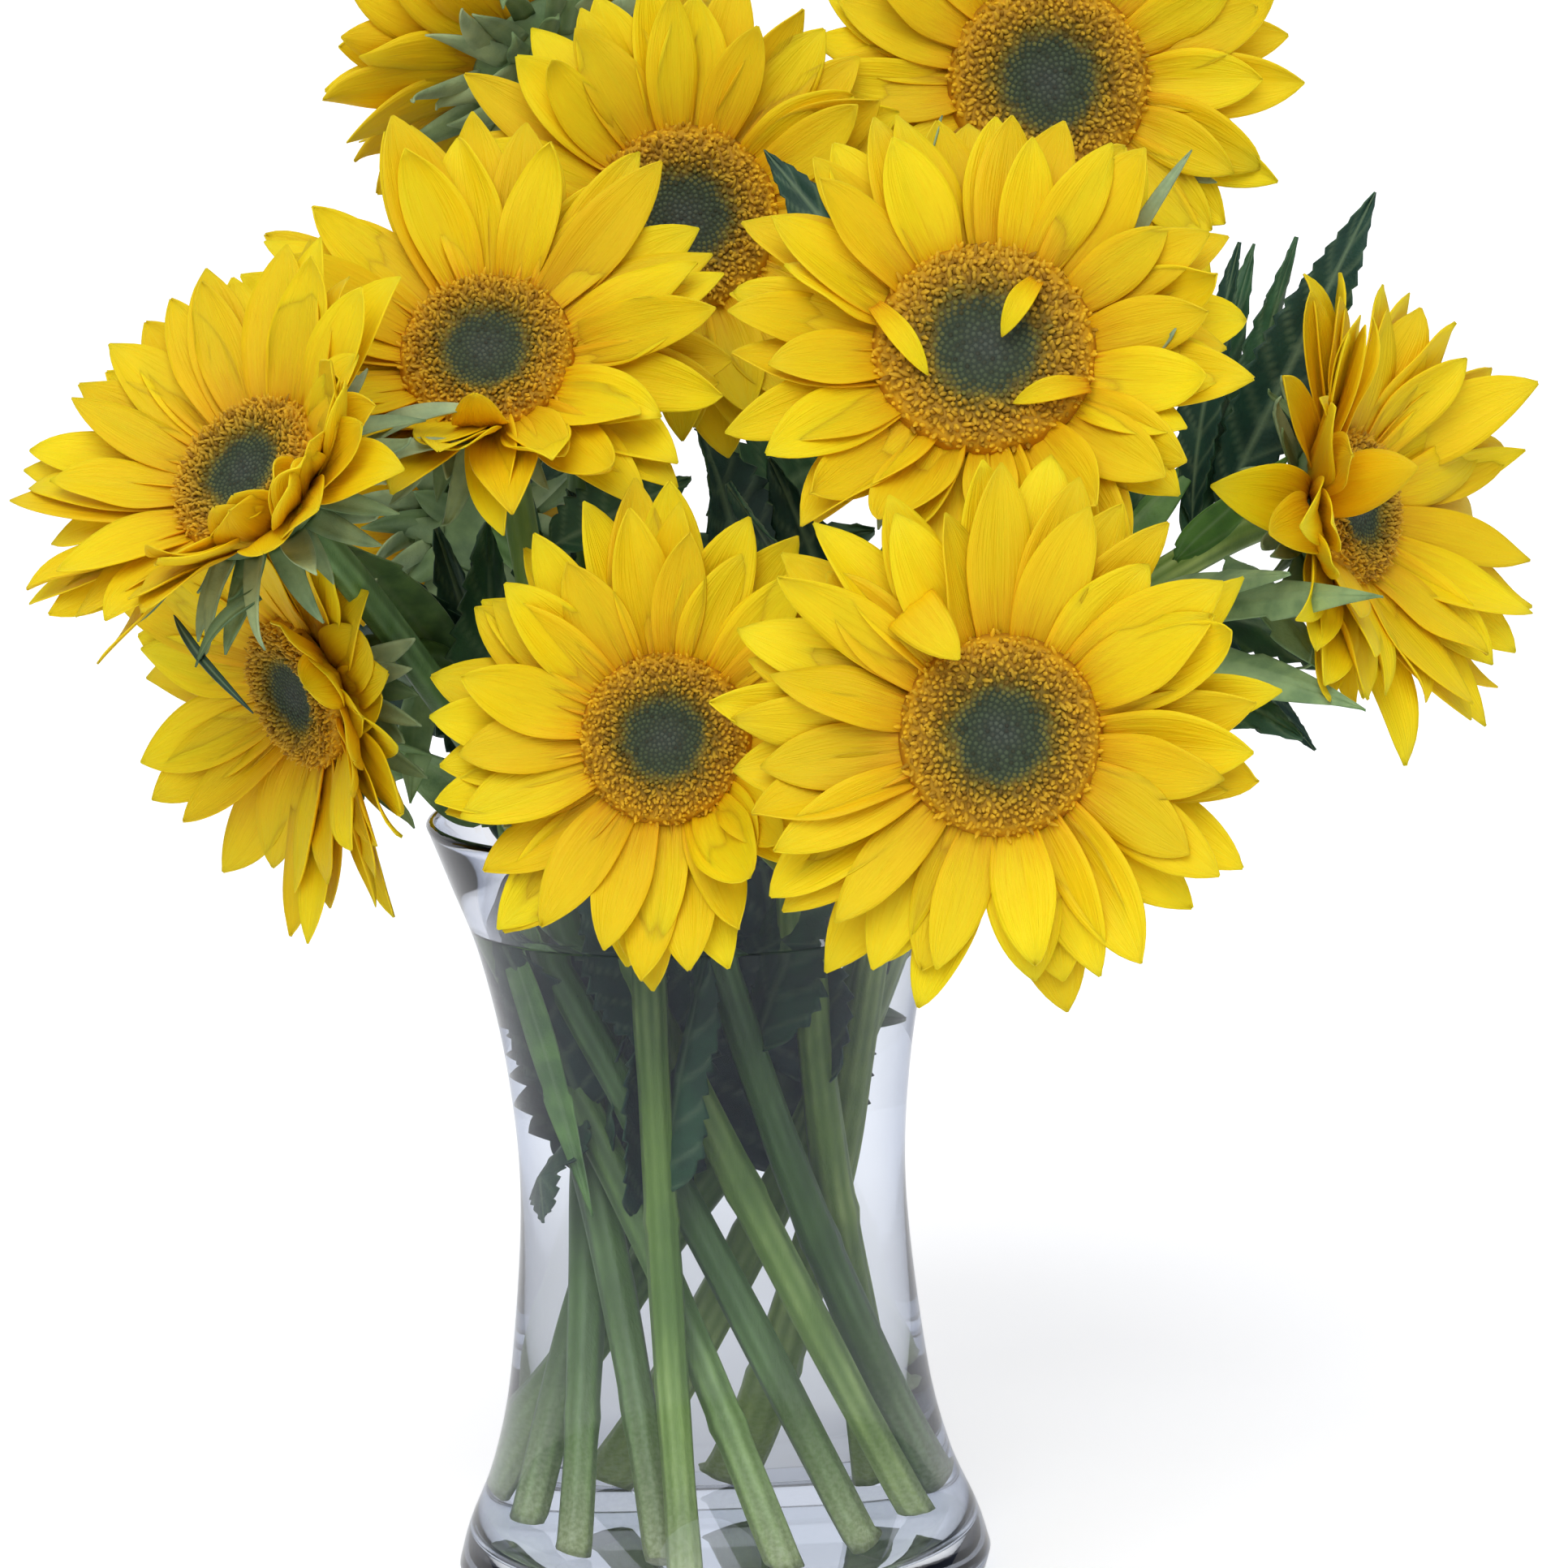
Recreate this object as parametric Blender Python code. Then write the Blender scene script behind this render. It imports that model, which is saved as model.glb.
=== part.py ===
"""Cut sunflowers standing in a clear waisted glass vase of water.

Metres, +Z up, origin on the middle of the vase's underside, the front facing -Y.
Tables give millimetres and degrees. Turn 0 faces the front and grows towards +X.
"""

import math

import bmesh
import bpy
import numpy as np

MM = 0.001
GAP = 0.4  # left between neighbouring pieces

# Vase: outer profile as (height, radius), then the wall and the solid foot. The inside is
# the outside less the wall, rounded in to the foot and thinned under the lip.
VASE_PROFILE = (
    (0, 62), (1.5, 68), (8, 70), (18, 67), (35, 60), (60, 54.5), (105, 50.4),
    (140, 52.6), (170, 58.5), (190, 65.5), (205, 71),
)
VASE_WALL = 4.0
VASE_FLOOR = 14.0
VASE_SIDES = 36
INNER_HEIGHTS = (VASE_FLOOR, 20, 35, 60, 105, 140, 170, 190, 204.2)
FLOOR_ROUNDING = 3.0
LIP_TOP = (206.2, 69.8)
LIP_INNER_RADIUS = 68.4
WATER_HEIGHT = 178.0

# Stem bundle: stems lean round the waist of the vase like the ribs of a basket stool.
STEM_RADIUS = 4.3
STEM_SIDES = 7
FOOT_Z = VASE_FLOOR + GAP
WAIST_Z = 105.0
MOUTH_Z = 208.0
WAIST_RADIUS = 24.0
POINTS_IN_VASE = 5
POINTS_ABOVE = 7
CHANNEL_SPARE = 0.5  # how much wider the water's channel is than what stands in it

# Flower head, measured along its axis from the plane the petals leave. Rings are (share
# of the disc radius, height); the bracts are points on the calyx's third ring.
PETAL_COUNT = 13
PETAL_THICKNESS = 1.8
PETAL_HEIGHT = 1.2
PETAL_ROOT = 0.55  # where the petals start, as a share of the disc radius
PETAL_THICKEST = 2.0  # how far outside the disc a petal is thickest
PETAL_OUTLINE = (0.6, 0.9, 1.0, 0.9)  # share of the reach at the four points of a petal
CALYX_LENGTH = 16.0
CALYX_NECK = STEM_RADIUS + 0.8
CALYX_RINGS = ((0.66, -6.5), (0.9, -2.6), (0.8, -1.5))
BRACT_COUNT = 10
BRACT_REACH = 1.45
DISC_SIDES = 14
DISC_RINGS = ((0.7, 2.2), (1.0, 4.6), (0.8, 9.0), (0.42, 7.6))

# name: centre of the petal plane, turn, rise, disc radius, petal reach, cup angle
HEADS = {
    "01": ((-102, -97, 305), -38, 36, 21, 62, 22),
    "02": ((-96, -35, 246), -54, -13, 20, 63, 20),
    "03": ((-48, -46, 328), -4, 33, 22, 65, 16),
    "04": ((1, 1, 358), 1, 12, 24, 63, 12),
    "05": ((-36, 52, 398), -141, 34, 22, 60, 14),
    "06": ((95, 18, 389), 2, 9, 26, 62, 10),
    "07": ((73, -95, 330), -1, 25, 27, 63, 16),
    "08": ((-6, -94, 239), -6, 12, 21, 60, 10),
    "09": ((73, -136, 244), -2, 9, 24, 65, 10),
    "10": ((165, -16, 281), 56, 7, 20, 62, 22),
    "11": ((74, 118, 300), 140, 20, 22, 60, 14),
    "12": ((-62, 120, 270), -150, 16, 21, 60, 14),
}

# name: turn at the waist, lean (run for each unit of rise), pull out of the mouth,
# pull into the head
STEMS = {
    "01": (-10, 0.42, 60, 50),
    "03": (24, 0.40, 60, 50),
    "09": (56, 0.41, 60, 50),
    "07": (88, 0.38, 60, 50),
    "10": (121, 0.44, 60, 50),
    "06": (153, 0.38, 60, 60),
    "11": (186, 0.46, 60, 50),
    "04": (219, 0.38, 60, 60),
    "12": (252, 0.44, 60, 50),
    "05": (285, 0.40, 60, 60),
    "02": (317, 0.48, 110, 90),
}
# The twelfth stem stands in front of the bundle: foot, waist and mouth as (x, y).
FRONT_STEM = ("08", (-9, -53), (-12, -38), (-13, -57.5), 45, 40)

# name: stem it grows from, share of the way up it, turn, sweep of the turn to the tip,
# rise, droop, roll of the blade, length, width
LEAVES = {
    "01": ("07", 0.93, -128, 0, 44, 0, 60, 82, 20),
    "02": ("03", 0.73, 70, 0, 25, 0, 60, 44, 22),
    "03": ("10", 0.88, 84, 0, 63, 0, 90, 94, 22),
    "04": ("10", 0.85, 60, 30, 90, 14, 90, 76, 13),
    "05": ("10", 0.81, 36, 30, 38, 0, 40, 46, 11),
    "06": ("10", 0.87, 30, 30, -10, 40, 0, 46, 15),
    "07": ("10", 0.78, 70, 20, -22, 30, 60, 56, 14),
    "08": ("02", 0.84, -20, 0, -40, 40, 0, 34, 12),
    "09": ("12", 0.72, 175, 0, 40, 60, 0, 70, 26),
    "10": ("01", 0.335, 68, 0, -77, 0, -100, 88, 11),
}
LEAF_THICKNESS = 1.4
LEAF_WIDTHS = (0.16, 0.62, 1.0, 0.94, 0.74, 0.42, 0.06)  # shares of the width, base to tip
LEAF_STEPS = len(LEAF_WIDTHS) - 1
LEAF_STANDOFF = 1.6  # from the stem's surface to the start of the midrib
SUNK_LEAF = "10"

COLOURS = {
    "petal": (0.95, 0.68, 0.04),
    "disc": (0.42, 0.22, 0.04),
    "calyx": (0.20, 0.33, 0.10),
    "stem": (0.24, 0.40, 0.12),
    "leaf": (0.08, 0.22, 0.09),
    "glass": (0.80, 0.86, 0.93),
    "water": (0.70, 0.82, 0.90),
}


def clear_scene():
    for item in list(bpy.data.objects):
        bpy.data.objects.remove(item, do_unlink=True)


def material(name):
    """The Principled material of this name, made on first use."""
    if name in bpy.data.materials:
        return bpy.data.materials[name]
    made = bpy.data.materials.new(name)
    made.use_nodes = True
    shader = made.node_tree.nodes["Principled BSDF"]
    shader.inputs["Base Color"].default_value = (*COLOURS[name], 1)
    shader.inputs["Roughness"].default_value = 0.05 if name in ("glass", "water") else 0.6
    shader.inputs["Transmission Weight"].default_value = float(name in ("glass", "water"))
    made.diffuse_color = (*COLOURS[name], 1)
    return made


def skin(name, rings, kind, looped=False):
    """A closed solid over rings of points in mm: capped at both ends, or looped round."""
    count, around = len(rings), len(rings[0])
    mesh = bmesh.new()
    points = [[mesh.verts.new(np.asarray(p) * MM) for p in ring] for ring in rings]
    for i in range(count if looped else count - 1):
        low, high = points[i], points[(i + 1) % count]
        for j in range(around):
            k = (j + 1) % around
            mesh.faces.new((low[j], low[k], high[k], high[j]))
    if not looped:
        mesh.faces.new(points[0])
        mesh.faces.new(points[-1])
    bmesh.ops.recalc_face_normals(mesh, faces=mesh.faces[:])
    for face in mesh.faces:
        face.smooth = len(face.verts) == 4
    data = bpy.data.meshes.new(name)
    mesh.to_mesh(data)
    mesh.free()
    data.materials.append(material(kind))
    made = bpy.data.objects.new(name, data)
    bpy.context.scene.collection.objects.link(made)
    return made


def turned(profile, sides):
    """Rings for a piece turned about the vertical axis, from (height, radius) pairs."""
    angles = np.arange(sides) * 2 * math.pi / sides
    circle = np.stack([np.cos(angles), np.sin(angles)], axis=1)
    return [np.column_stack([circle * r, np.full(sides, z)]) for z, r in profile]


def facing(turn, rise):
    """Axis, right and up directions of something that faces this way."""
    a, b = math.radians(turn), math.radians(rise)
    axis = np.array([math.sin(a) * math.cos(b), -math.cos(a) * math.cos(b), math.sin(b)])
    right = np.array([math.cos(a), math.sin(a), 0.0])
    return axis, right, np.cross(right, -axis)


def placed(centre, turn, rise, rings):
    """Rings given as (angle, radius, along the axis) rows, put where a flower head is."""
    axis, right, up = facing(turn, rise)
    made = []
    for ring in rings:
        a, r, w = np.asarray(ring, float).T
        out = np.outer(r * np.cos(a), right) + np.outer(r * np.sin(a), up)
        made.append(np.asarray(centre, float) + out + np.outer(w, axis))
    return made


def ring(count, radius, along, radius_between=None):
    """One ring of (angle, radius, along); every other point may lie further out."""
    a = np.arange(count) * 2 * math.pi / count
    r = np.full(count, float(radius))
    if radius_between is not None:
        r[1::2] = radius_between
    return np.column_stack([a, r, np.full(count, float(along))])


# ---------------------------------------------------------------- vase and water
def inner_profile():
    """Inside of the vase from the floor to just under the rim."""
    outer = np.array(VASE_PROFILE, float)
    radii = np.interp(INNER_HEIGHTS, outer[:, 0], outer[:, 1]) - VASE_WALL
    radii[0] -= FLOOR_ROUNDING
    radii[-1] = LIP_INNER_RADIUS
    return list(zip(INNER_HEIGHTS, radii))


def make_vase():
    profile = [*VASE_PROFILE, LIP_TOP, *inner_profile()[::-1]]
    return skin("vase", turned(profile, VASE_SIDES), "glass")


def make_water(cutters):
    """Water up to its level, with a close channel round each thing that stands in it."""
    inside = [(z, r - GAP) for z, r in inner_profile() if z < WATER_HEIGHT]
    inside[0] = (VASE_FLOOR + GAP, inside[0][1])
    all_z, all_r = np.array(inner_profile()).T
    inside.append((WATER_HEIGHT, np.interp(WATER_HEIGHT, all_z, all_r) - GAP))
    water = skin("water", turned(inside, VASE_SIDES), "water")
    for cutter in cutters:
        cutter.hide_render = True
        cutter.display_type = "WIRE"
        cut = water.modifiers.new(cutter.name, "BOOLEAN")
        cut.object = cutter
        cut.operation = "DIFFERENCE"
        cut.solver = "EXACT"
    return water


# ---------------------------------------------------------------- stems
def bundle_point(turn, lean, height):
    """Where a leaning stem of the bundle is at this height."""
    a = math.radians(turn)
    out = np.array([math.sin(a), -math.cos(a)])
    side = np.array([-math.cos(a), -math.sin(a)])
    xy = out * WAIST_RADIUS + side * lean * (height - WAIST_Z)
    return np.array([*xy, height])


def stem_course(name):
    """Three points the stem passes in the vase, and its pulls above it."""
    if name == FRONT_STEM[0]:
        places = zip(FRONT_STEM[1:4], (FOOT_Z, WAIST_Z, MOUTH_Z))
        return [np.array([*xy, z], float) for xy, z in places], FRONT_STEM[4:]
    turn, lean, out, into = STEMS[name]
    return [bundle_point(turn, lean, z) for z in (FOOT_Z, WAIST_Z, MOUTH_Z)], (out, into)


def stem_line(name):
    """Centreline of a stem: through its three points, then a bend into the head."""
    (foot, waist, mouth), (out, into) = stem_course(name)
    heights = np.linspace(FOOT_Z, MOUTH_Z, POINTS_IN_VASE)
    s = (heights - FOOT_Z) / (MOUTH_Z - FOOT_Z)
    m = (WAIST_Z - FOOT_Z) / (MOUTH_Z - FOOT_Z)
    bow = (waist - (foot + (mouth - foot) * m)) / (m * (1 - m))
    low = foot + np.outer(s, mouth - foot) + np.outer(s * (1 - s), bow)
    leaving = (mouth - foot) - bow
    leaving /= np.linalg.norm(leaving)
    centre, turn, rise = HEADS[name][:3]
    axis = facing(turn, rise)[0]
    end = np.array(centre, float) - axis * (CALYX_LENGTH + GAP)
    t = np.linspace(0, 1, POINTS_ABOVE + 1)[1:, None]
    bend = (
        (2 * t**3 - 3 * t**2 + 1) * mouth
        + (t**3 - 2 * t**2 + t) * leaving * out
        + (3 * t**2 - 2 * t**3) * end
        + (t**3 - t**2) * axis * into
    )
    return np.vstack([low, bend])


def tube(line, radius, sides, first=None, last=None):
    """Rings round a line of points, the first and last ones square to the given ways."""
    way = np.gradient(line, axis=0)
    if first is not None:
        way[0] = first
    if last is not None:
        way[-1] = last
    way /= np.linalg.norm(way, axis=1)[:, None]
    side = np.cross(way[0], [0, 1, 0])
    rings = []
    for point, w in zip(line, way):
        side = side - w * np.dot(side, w)
        side /= np.linalg.norm(side)
        other = np.cross(w, side)
        a = np.arange(sides) * 2 * math.pi / sides
        rings.append(point + radius * (np.outer(np.cos(a), side) + np.outer(np.sin(a), other)))
    return rings


def make_stem(name):
    axis = facing(*HEADS[name][1:3])[0]
    rings = tube(stem_line(name), STEM_RADIUS, STEM_SIDES, (0, 0, 1), axis)
    return skin(f"stem_{name}", rings, "stem")


def stem_cutter(name):
    """A wider copy of the stem's lower part, for its channel through the water."""
    line = stem_line(name)[:POINTS_IN_VASE]
    below_the_foot = (line[0] - line[1]) * 0.15
    line[0] += below_the_foot
    rings = tube(line, STEM_RADIUS + CHANNEL_SPARE, STEM_SIDES)
    return skin(f"cutter_{name}", rings, "stem")


# ---------------------------------------------------------------- flower heads
def make_calyx(name):
    centre, turn, rise, disc = HEADS[name][:4]
    n = 2 * BRACT_COUNT
    (low, low_w), (bracts, bracts_w), (top, top_w) = CALYX_RINGS
    rings = [
        ring(n, CALYX_NECK, -CALYX_LENGTH),
        ring(n, disc * low, low_w),
        ring(n, disc * bracts, bracts_w, disc * BRACT_REACH),
        ring(n, disc * top, top_w),
    ]
    return skin(f"calyx_{name}", placed(centre, turn, rise, rings), "calyx")


def make_disc(name):
    centre, turn, rise, disc = HEADS[name][:4]
    rings = [ring(DISC_SIDES, disc * share, w) for share, w in DISC_RINGS]
    return skin(f"disc_{name}", placed(centre, turn, rise, rings), "disc")


def make_petals(name):
    """One ring of petals: a lens section whose outer edge runs out to each tip."""
    centre, turn, rise, disc, reach, cup = HEADS[name]
    half = PETAL_THICKNESS / 2
    lift = math.tan(math.radians(cup))
    rings = []
    points = len(PETAL_OUTLINE)
    for i in range(PETAL_COUNT * points):
        a = (i - points / 2) * 2 * math.pi / (PETAL_COUNT * points)
        tip = disc + (reach - disc) * PETAL_OUTLINE[i % points]
        middle = disc + PETAL_THICKEST
        rings.append([
            (a, disc * PETAL_ROOT, 0.0),
            (a, middle, PETAL_HEIGHT + half),
            (a, tip, PETAL_HEIGHT + (tip - middle) * lift),
            (a, middle, PETAL_HEIGHT - half),
        ])
    return skin(f"petals_{name}", placed(centre, turn, rise, rings), "petal", looped=True)


# ---------------------------------------------------------------- leaves
def leaf_line(name):
    """Midrib of a leaf: it leaves its stem, bends early by its droop, then runs on."""
    stem, share, turn, sweep, rise, droop, _, length, _ = LEAVES[name]
    line = stem_line(stem)
    where = share * (len(line) - 1)
    low, high = line[int(where)], line[int(where) + 1]
    along = (high - low) / np.linalg.norm(high - low)
    s = (np.arange(LEAF_STEPS) + 0.5) / LEAF_STEPS
    tilt = np.radians(rise - droop * (1 - (1 - s) ** 3))
    heading = np.radians(turn + sweep * s)
    ways = np.column_stack([np.cos(tilt) * np.sin(heading), -np.cos(tilt) * np.cos(heading)])
    ways = np.column_stack([ways, np.sin(tilt)])
    off = ways[0] - along * np.dot(ways[0], along)
    off *= (STEM_RADIUS + LEAF_STANDOFF) / np.linalg.norm(off)
    start = low + (high - low) * (where % 1) + off
    return np.vstack([start, start + np.cumsum(ways, axis=0) * length / LEAF_STEPS])


def leaf_rings(name, spare=0.0):
    """Diamond sections along the midrib, wide a third of the way out, never quite zero."""
    turn, roll, width = (LEAVES[name][i] for i in (2, 6, 8))
    line = leaf_line(name)
    way = np.gradient(line, axis=0)
    way /= np.linalg.norm(way, axis=1)[:, None]
    level = facing(turn, 0)[1]
    roll = math.radians(roll)
    rings = []
    for point, w, share in zip(line, way, LEAF_WIDTHS):
        side = level * math.cos(roll) + np.cross(level, w) * math.sin(roll)
        across = side * (width / 2 * share + spare)
        through = np.cross(side, w) * (LEAF_THICKNESS / 2 + spare)
        rings.append([point + across, point + through, point - across, point - through])
    return rings


def make_leaf(name):
    return skin(f"leaf_{name}", leaf_rings(name), "leaf")


def leaf_cutter(name):
    return skin(f"leaf_cutter_{name}", leaf_rings(name, CHANNEL_SPARE), "leaf")


clear_scene()
for leaf in LEAVES:
    make_leaf(leaf)
for head in HEADS:
    make_stem(head)
    make_calyx(head)
    make_disc(head)
    make_petals(head)
make_vase()
make_water([stem_cutter(head) for head in HEADS] + [leaf_cutter(SUNK_LEAF)])
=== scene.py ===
# %% [markdown]
# # Cut sunflowers in a glass vase
#
# Twelve sunflowers stand in a waisted glass vase that is nearly full of water. A plain
# model of the bunch is already packed: it says where each stem, flower and leaf is, and
# how big. This file gives every one of them its real shape and surface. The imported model
# is never moved: each piece here is worked out from it, so it lands in the same place.

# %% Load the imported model
import math

import bpy
import numpy as np
from mathutils import Matrix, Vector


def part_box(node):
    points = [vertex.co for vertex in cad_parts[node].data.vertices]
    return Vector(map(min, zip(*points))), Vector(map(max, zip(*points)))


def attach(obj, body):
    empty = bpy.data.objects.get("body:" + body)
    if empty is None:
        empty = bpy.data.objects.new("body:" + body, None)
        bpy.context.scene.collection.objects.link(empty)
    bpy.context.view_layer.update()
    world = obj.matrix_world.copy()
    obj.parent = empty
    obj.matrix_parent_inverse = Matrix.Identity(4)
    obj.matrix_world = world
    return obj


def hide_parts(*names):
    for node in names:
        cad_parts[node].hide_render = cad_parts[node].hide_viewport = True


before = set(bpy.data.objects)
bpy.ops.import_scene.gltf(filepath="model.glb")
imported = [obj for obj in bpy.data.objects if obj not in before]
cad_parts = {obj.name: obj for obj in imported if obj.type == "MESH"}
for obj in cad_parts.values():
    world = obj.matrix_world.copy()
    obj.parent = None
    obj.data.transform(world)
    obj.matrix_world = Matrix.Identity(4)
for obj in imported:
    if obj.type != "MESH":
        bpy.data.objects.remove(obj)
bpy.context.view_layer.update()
MM = 0.001
ROUND = 6.28  # upper end of a random turn, in radians
HEADS = sorted(name[5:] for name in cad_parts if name.startswith("disc_"))
LEAVES = sorted(name[5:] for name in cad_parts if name.startswith("leaf_"))
print("flowers:", len(HEADS), "leaves:", len(LEAVES))


# %% [markdown]
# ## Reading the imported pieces
#
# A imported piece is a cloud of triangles. Its corners, each taken once, are enough to find
# a flower: the middle of the disc and the middle of the green cup behind it both lie on
# the flower's own axis, so the line between them is the way the flower faces. A stem is
# followed from its foot by cutting it with planes, the way one slices a cucumber, and
# joining the middles of the slices.

# %% Corners, triangles and the way a flower faces
def unit(vectors):
    """Each vector divided by its length."""
    return vectors / np.linalg.norm(vectors, axis=-1, keepdims=True)


def triangles(node):
    """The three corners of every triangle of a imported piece, as one array."""
    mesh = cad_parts[node].data
    mesh.calc_loop_triangles()
    points = np.empty(len(mesh.vertices) * 3)
    mesh.vertices.foreach_get("co", points)
    index = np.empty(len(mesh.loop_triangles) * 3, dtype=np.int32)
    mesh.loop_triangles.foreach_get("vertices", index)
    return points.reshape(-1, 3)[index].reshape(-1, 3, 3)


def corners(node):
    """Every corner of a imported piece, each once."""
    return np.unique(np.round(triangles(node).reshape(-1, 3), 6), axis=0)


DISC_BACK = 2.2 * MM  # how far the disc's back stands off the plane the petals leave
PETAL_ROOT = 1.2 * MM  # and how far the petals' roots do
ROOT_GAP = 2 * MM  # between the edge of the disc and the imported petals' roots


def read_head(name):
    """Centre, axis, right, up, disc radius, petal reach and cup angle of a flower."""
    disc, cup, petals = (corners(f"{part}_{name}") for part in ("disc", "calyx", "petals"))
    axis = unit(disc.mean(axis=0) - cup.mean(axis=0))
    middle = disc.mean(axis=0)
    right = unit(np.cross([0, 0, 1.0], axis))

    def from_axis(points):
        """Height along the axis and distance from it."""
        along = (points - middle) @ axis
        return along, np.linalg.norm(points - middle - np.outer(along, axis), axis=1)

    along, radius = from_axis(disc)
    centre = middle + axis * (along.min() - DISC_BACK)
    height, reach = from_axis(petals)
    tip_height = height.max() - along.min() + DISC_BACK - PETAL_ROOT
    return {
        "name": name,
        "centre": centre,
        "axis": axis,
        "right": right,
        "up": np.cross(axis, right),
        "radius": radius.max(),
        "reach": reach.max(),
        "cup": math.atan2(tip_height, reach.max() - radius.max() - ROOT_GAP),
    }


heads = {name: read_head(name) for name in HEADS}
for name, head in heads.items():
    radius, reach = round(head["radius"] / MM, 1), round(head["reach"] / MM, 1)
    print(name, "disc", radius, "reach", reach, "cup", round(math.degrees(head["cup"])))


# %% Follow a stem from its foot, and a leaf from its base
def slice_middle(shape, point, way, within):
    """Middle, and longest direction, of the outline where a plane cuts the triangles."""
    side = (shape - point) @ way
    cut = (side.min(axis=1) < 0) & (side.max(axis=1) > 0)
    shape, side = shape[cut], side[cut]
    ends = []
    for a, b in ((0, 1), (1, 2), (2, 0)):
        share = side[:, a] / np.where(side[:, a] == side[:, b], 1, side[:, a] - side[:, b])
        crosses = (side[:, a] < 0) != (side[:, b] < 0)
        place = shape[:, a] + share[:, None] * (shape[:, b] - shape[:, a])
        ends.append(np.where(crosses[:, None], place, np.nan))
    ends = np.stack(ends, axis=1)
    if len(ends) == 0:
        return None
    low, high = np.nanmin(ends, axis=1), np.nanmax(ends, axis=1)
    middle = np.nanmean(ends, axis=1)
    near = np.linalg.norm(middle - point, axis=1) < within
    if not near.any():
        return None
    weight = np.linalg.norm(high - low, axis=1)[near] + 1e-9
    centre = (middle[near] * weight[:, None]).sum(axis=0) / weight.sum()
    around = ends[near].reshape(-1, 3)
    around = around[~np.isnan(around[:, 0])]
    spread = around - centre
    far = spread[np.argmax(np.linalg.norm(spread, axis=1))]
    return centre, unit(far), np.linalg.norm(far)


STEM_STEP = 5 * MM  # from one slice of a stem to the next
STEM_REACH = 9 * MM  # how far from the guess a slice may be found
NECK = 15.5 * MM  # a stem ends this far behind the plane of the petals
FOOT_LAYER = 0.2 * MM  # corners this close to the lowest one are the foot
MOST_SLICES = 200


def stem_course(name):
    """Middle line of a stem: planes step along it, each square to the way just gone."""
    shape = triangles(f"stem_{name}")
    flat = shape.reshape(-1, 3)
    foot = flat[flat[:, 2] < flat[:, 2].min() + FOOT_LAYER].mean(axis=0)
    line, way = [foot], np.array([0, 0, 1.0])
    while len(line) < MOST_SLICES:
        found = slice_middle(shape, line[-1] + way * STEM_STEP, way, STEM_REACH)
        if found is None:
            break
        way = unit(found[0] - line[-1])
        line.append(found[0])
    head = heads[name]
    return np.vstack([line, head["centre"] - head["axis"] * NECK])


def even_line(line, count):
    """The same line with evenly spaced points, lightly smoothed."""
    gone = np.concatenate([[0], np.cumsum(np.linalg.norm(np.diff(line, axis=0), axis=1))])
    at = np.linspace(0, gone[-1], count)
    even = np.column_stack([np.interp(at, gone, line[:, i]) for i in range(3)])
    for _ in range(3):
        even[1:-1] = (even[:-2] + 2 * even[1:-1] + even[2:]) / 4
    return even


def leaf_course(node, slices=9):
    """Midrib of a packed leaf from base to tip, its sideways direction and half width."""
    shape = triangles(node)
    points = corners(node)
    middle = points.mean(axis=0)
    long_way = np.linalg.svd(points - middle)[2][0]
    reach = (points - middle) @ long_way
    found = [
        slice_middle(shape, middle + long_way * at, long_way, 1.0)
        for at in np.linspace(reach.min() * 0.97, reach.max() * 0.97, slices)
    ]
    line, side, half = (np.array([f[i] for f in found]) for i in range(3))
    widest = int(np.argmax(half))
    if widest > slices // 2:
        line, side, half = line[::-1], side[::-1], half[::-1]
        widest = slices - 1 - widest
    side = side * np.sign(side @ side[widest])[:, None]
    return line, side[widest], half[widest]


stems = {name: stem_course(name) for name in HEADS}
lengths = {name: round(len(line) * STEM_STEP / MM) for name, line in stems.items()}
print("stem lengths in mm:", lengths)


# %% [markdown]
# ## From arrays to meshes
#
# Every piece below is a grid of points worked out all at once with numpy. A thin thing,
# such as a petal, is a sheet: the grid is copied a hair's breadth up and down along its
# own normal, and the two copies are sewn together round the rim, so it is a closed body. A
# turned thing, such as the vase, is a stack of rings with a fan to a point at each end.

# %% Grids, sheets and stacks of rings
def grid_faces(rows, columns, wrap=False):
    """Quads between neighbouring rows and columns; wrap joins last column to first."""
    r = np.arange(rows - 1)[:, None] * columns
    c = np.arange(columns if wrap else columns - 1)[None]
    n = (c + 1) % columns
    quads = np.stack([r + c, r + n, r + columns + n, r + columns + c], axis=-1)
    return quads.reshape(-1, 4)


def sheet_faces(rows, columns):
    """Faces of a sheet with thickness: upper grid, lower grid turned over, and the rim."""
    upper = grid_faces(rows, columns)
    count = rows * columns
    index = np.arange(count).reshape(rows, columns)
    loop = np.concatenate(
        [index[0, :-1], index[:-1, -1], index[-1, :0:-1], index[:0:-1, 0]])
    ahead = np.roll(loop, -1)
    rim = np.stack([ahead, loop, loop + count, ahead + count], axis=-1)
    return np.concatenate([upper, upper[:, ::-1] + count, rim])


def round_turns(sides):
    """So many even turns round a full circle."""
    return np.arange(sides) * 2 * math.pi / sides


def ring_faces(rows, sides, first=0):
    """Faces of rings stacked from bottom to top, and of a fan at each end.

    The bottom's and the top's middle points follow the rings in the list of points.
    """
    here = np.arange(sides)
    ahead = (here + 1) % sides
    end, top = np.full(sides, rows * sides), (rows - 1) * sides
    low = np.stack([end, ahead, here], axis=1)
    lid = np.stack([end + 1, top + here, top + ahead], axis=1)
    return [part + first for part in (grid_faces(rows, sides, wrap=True), low, lid)]


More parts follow.
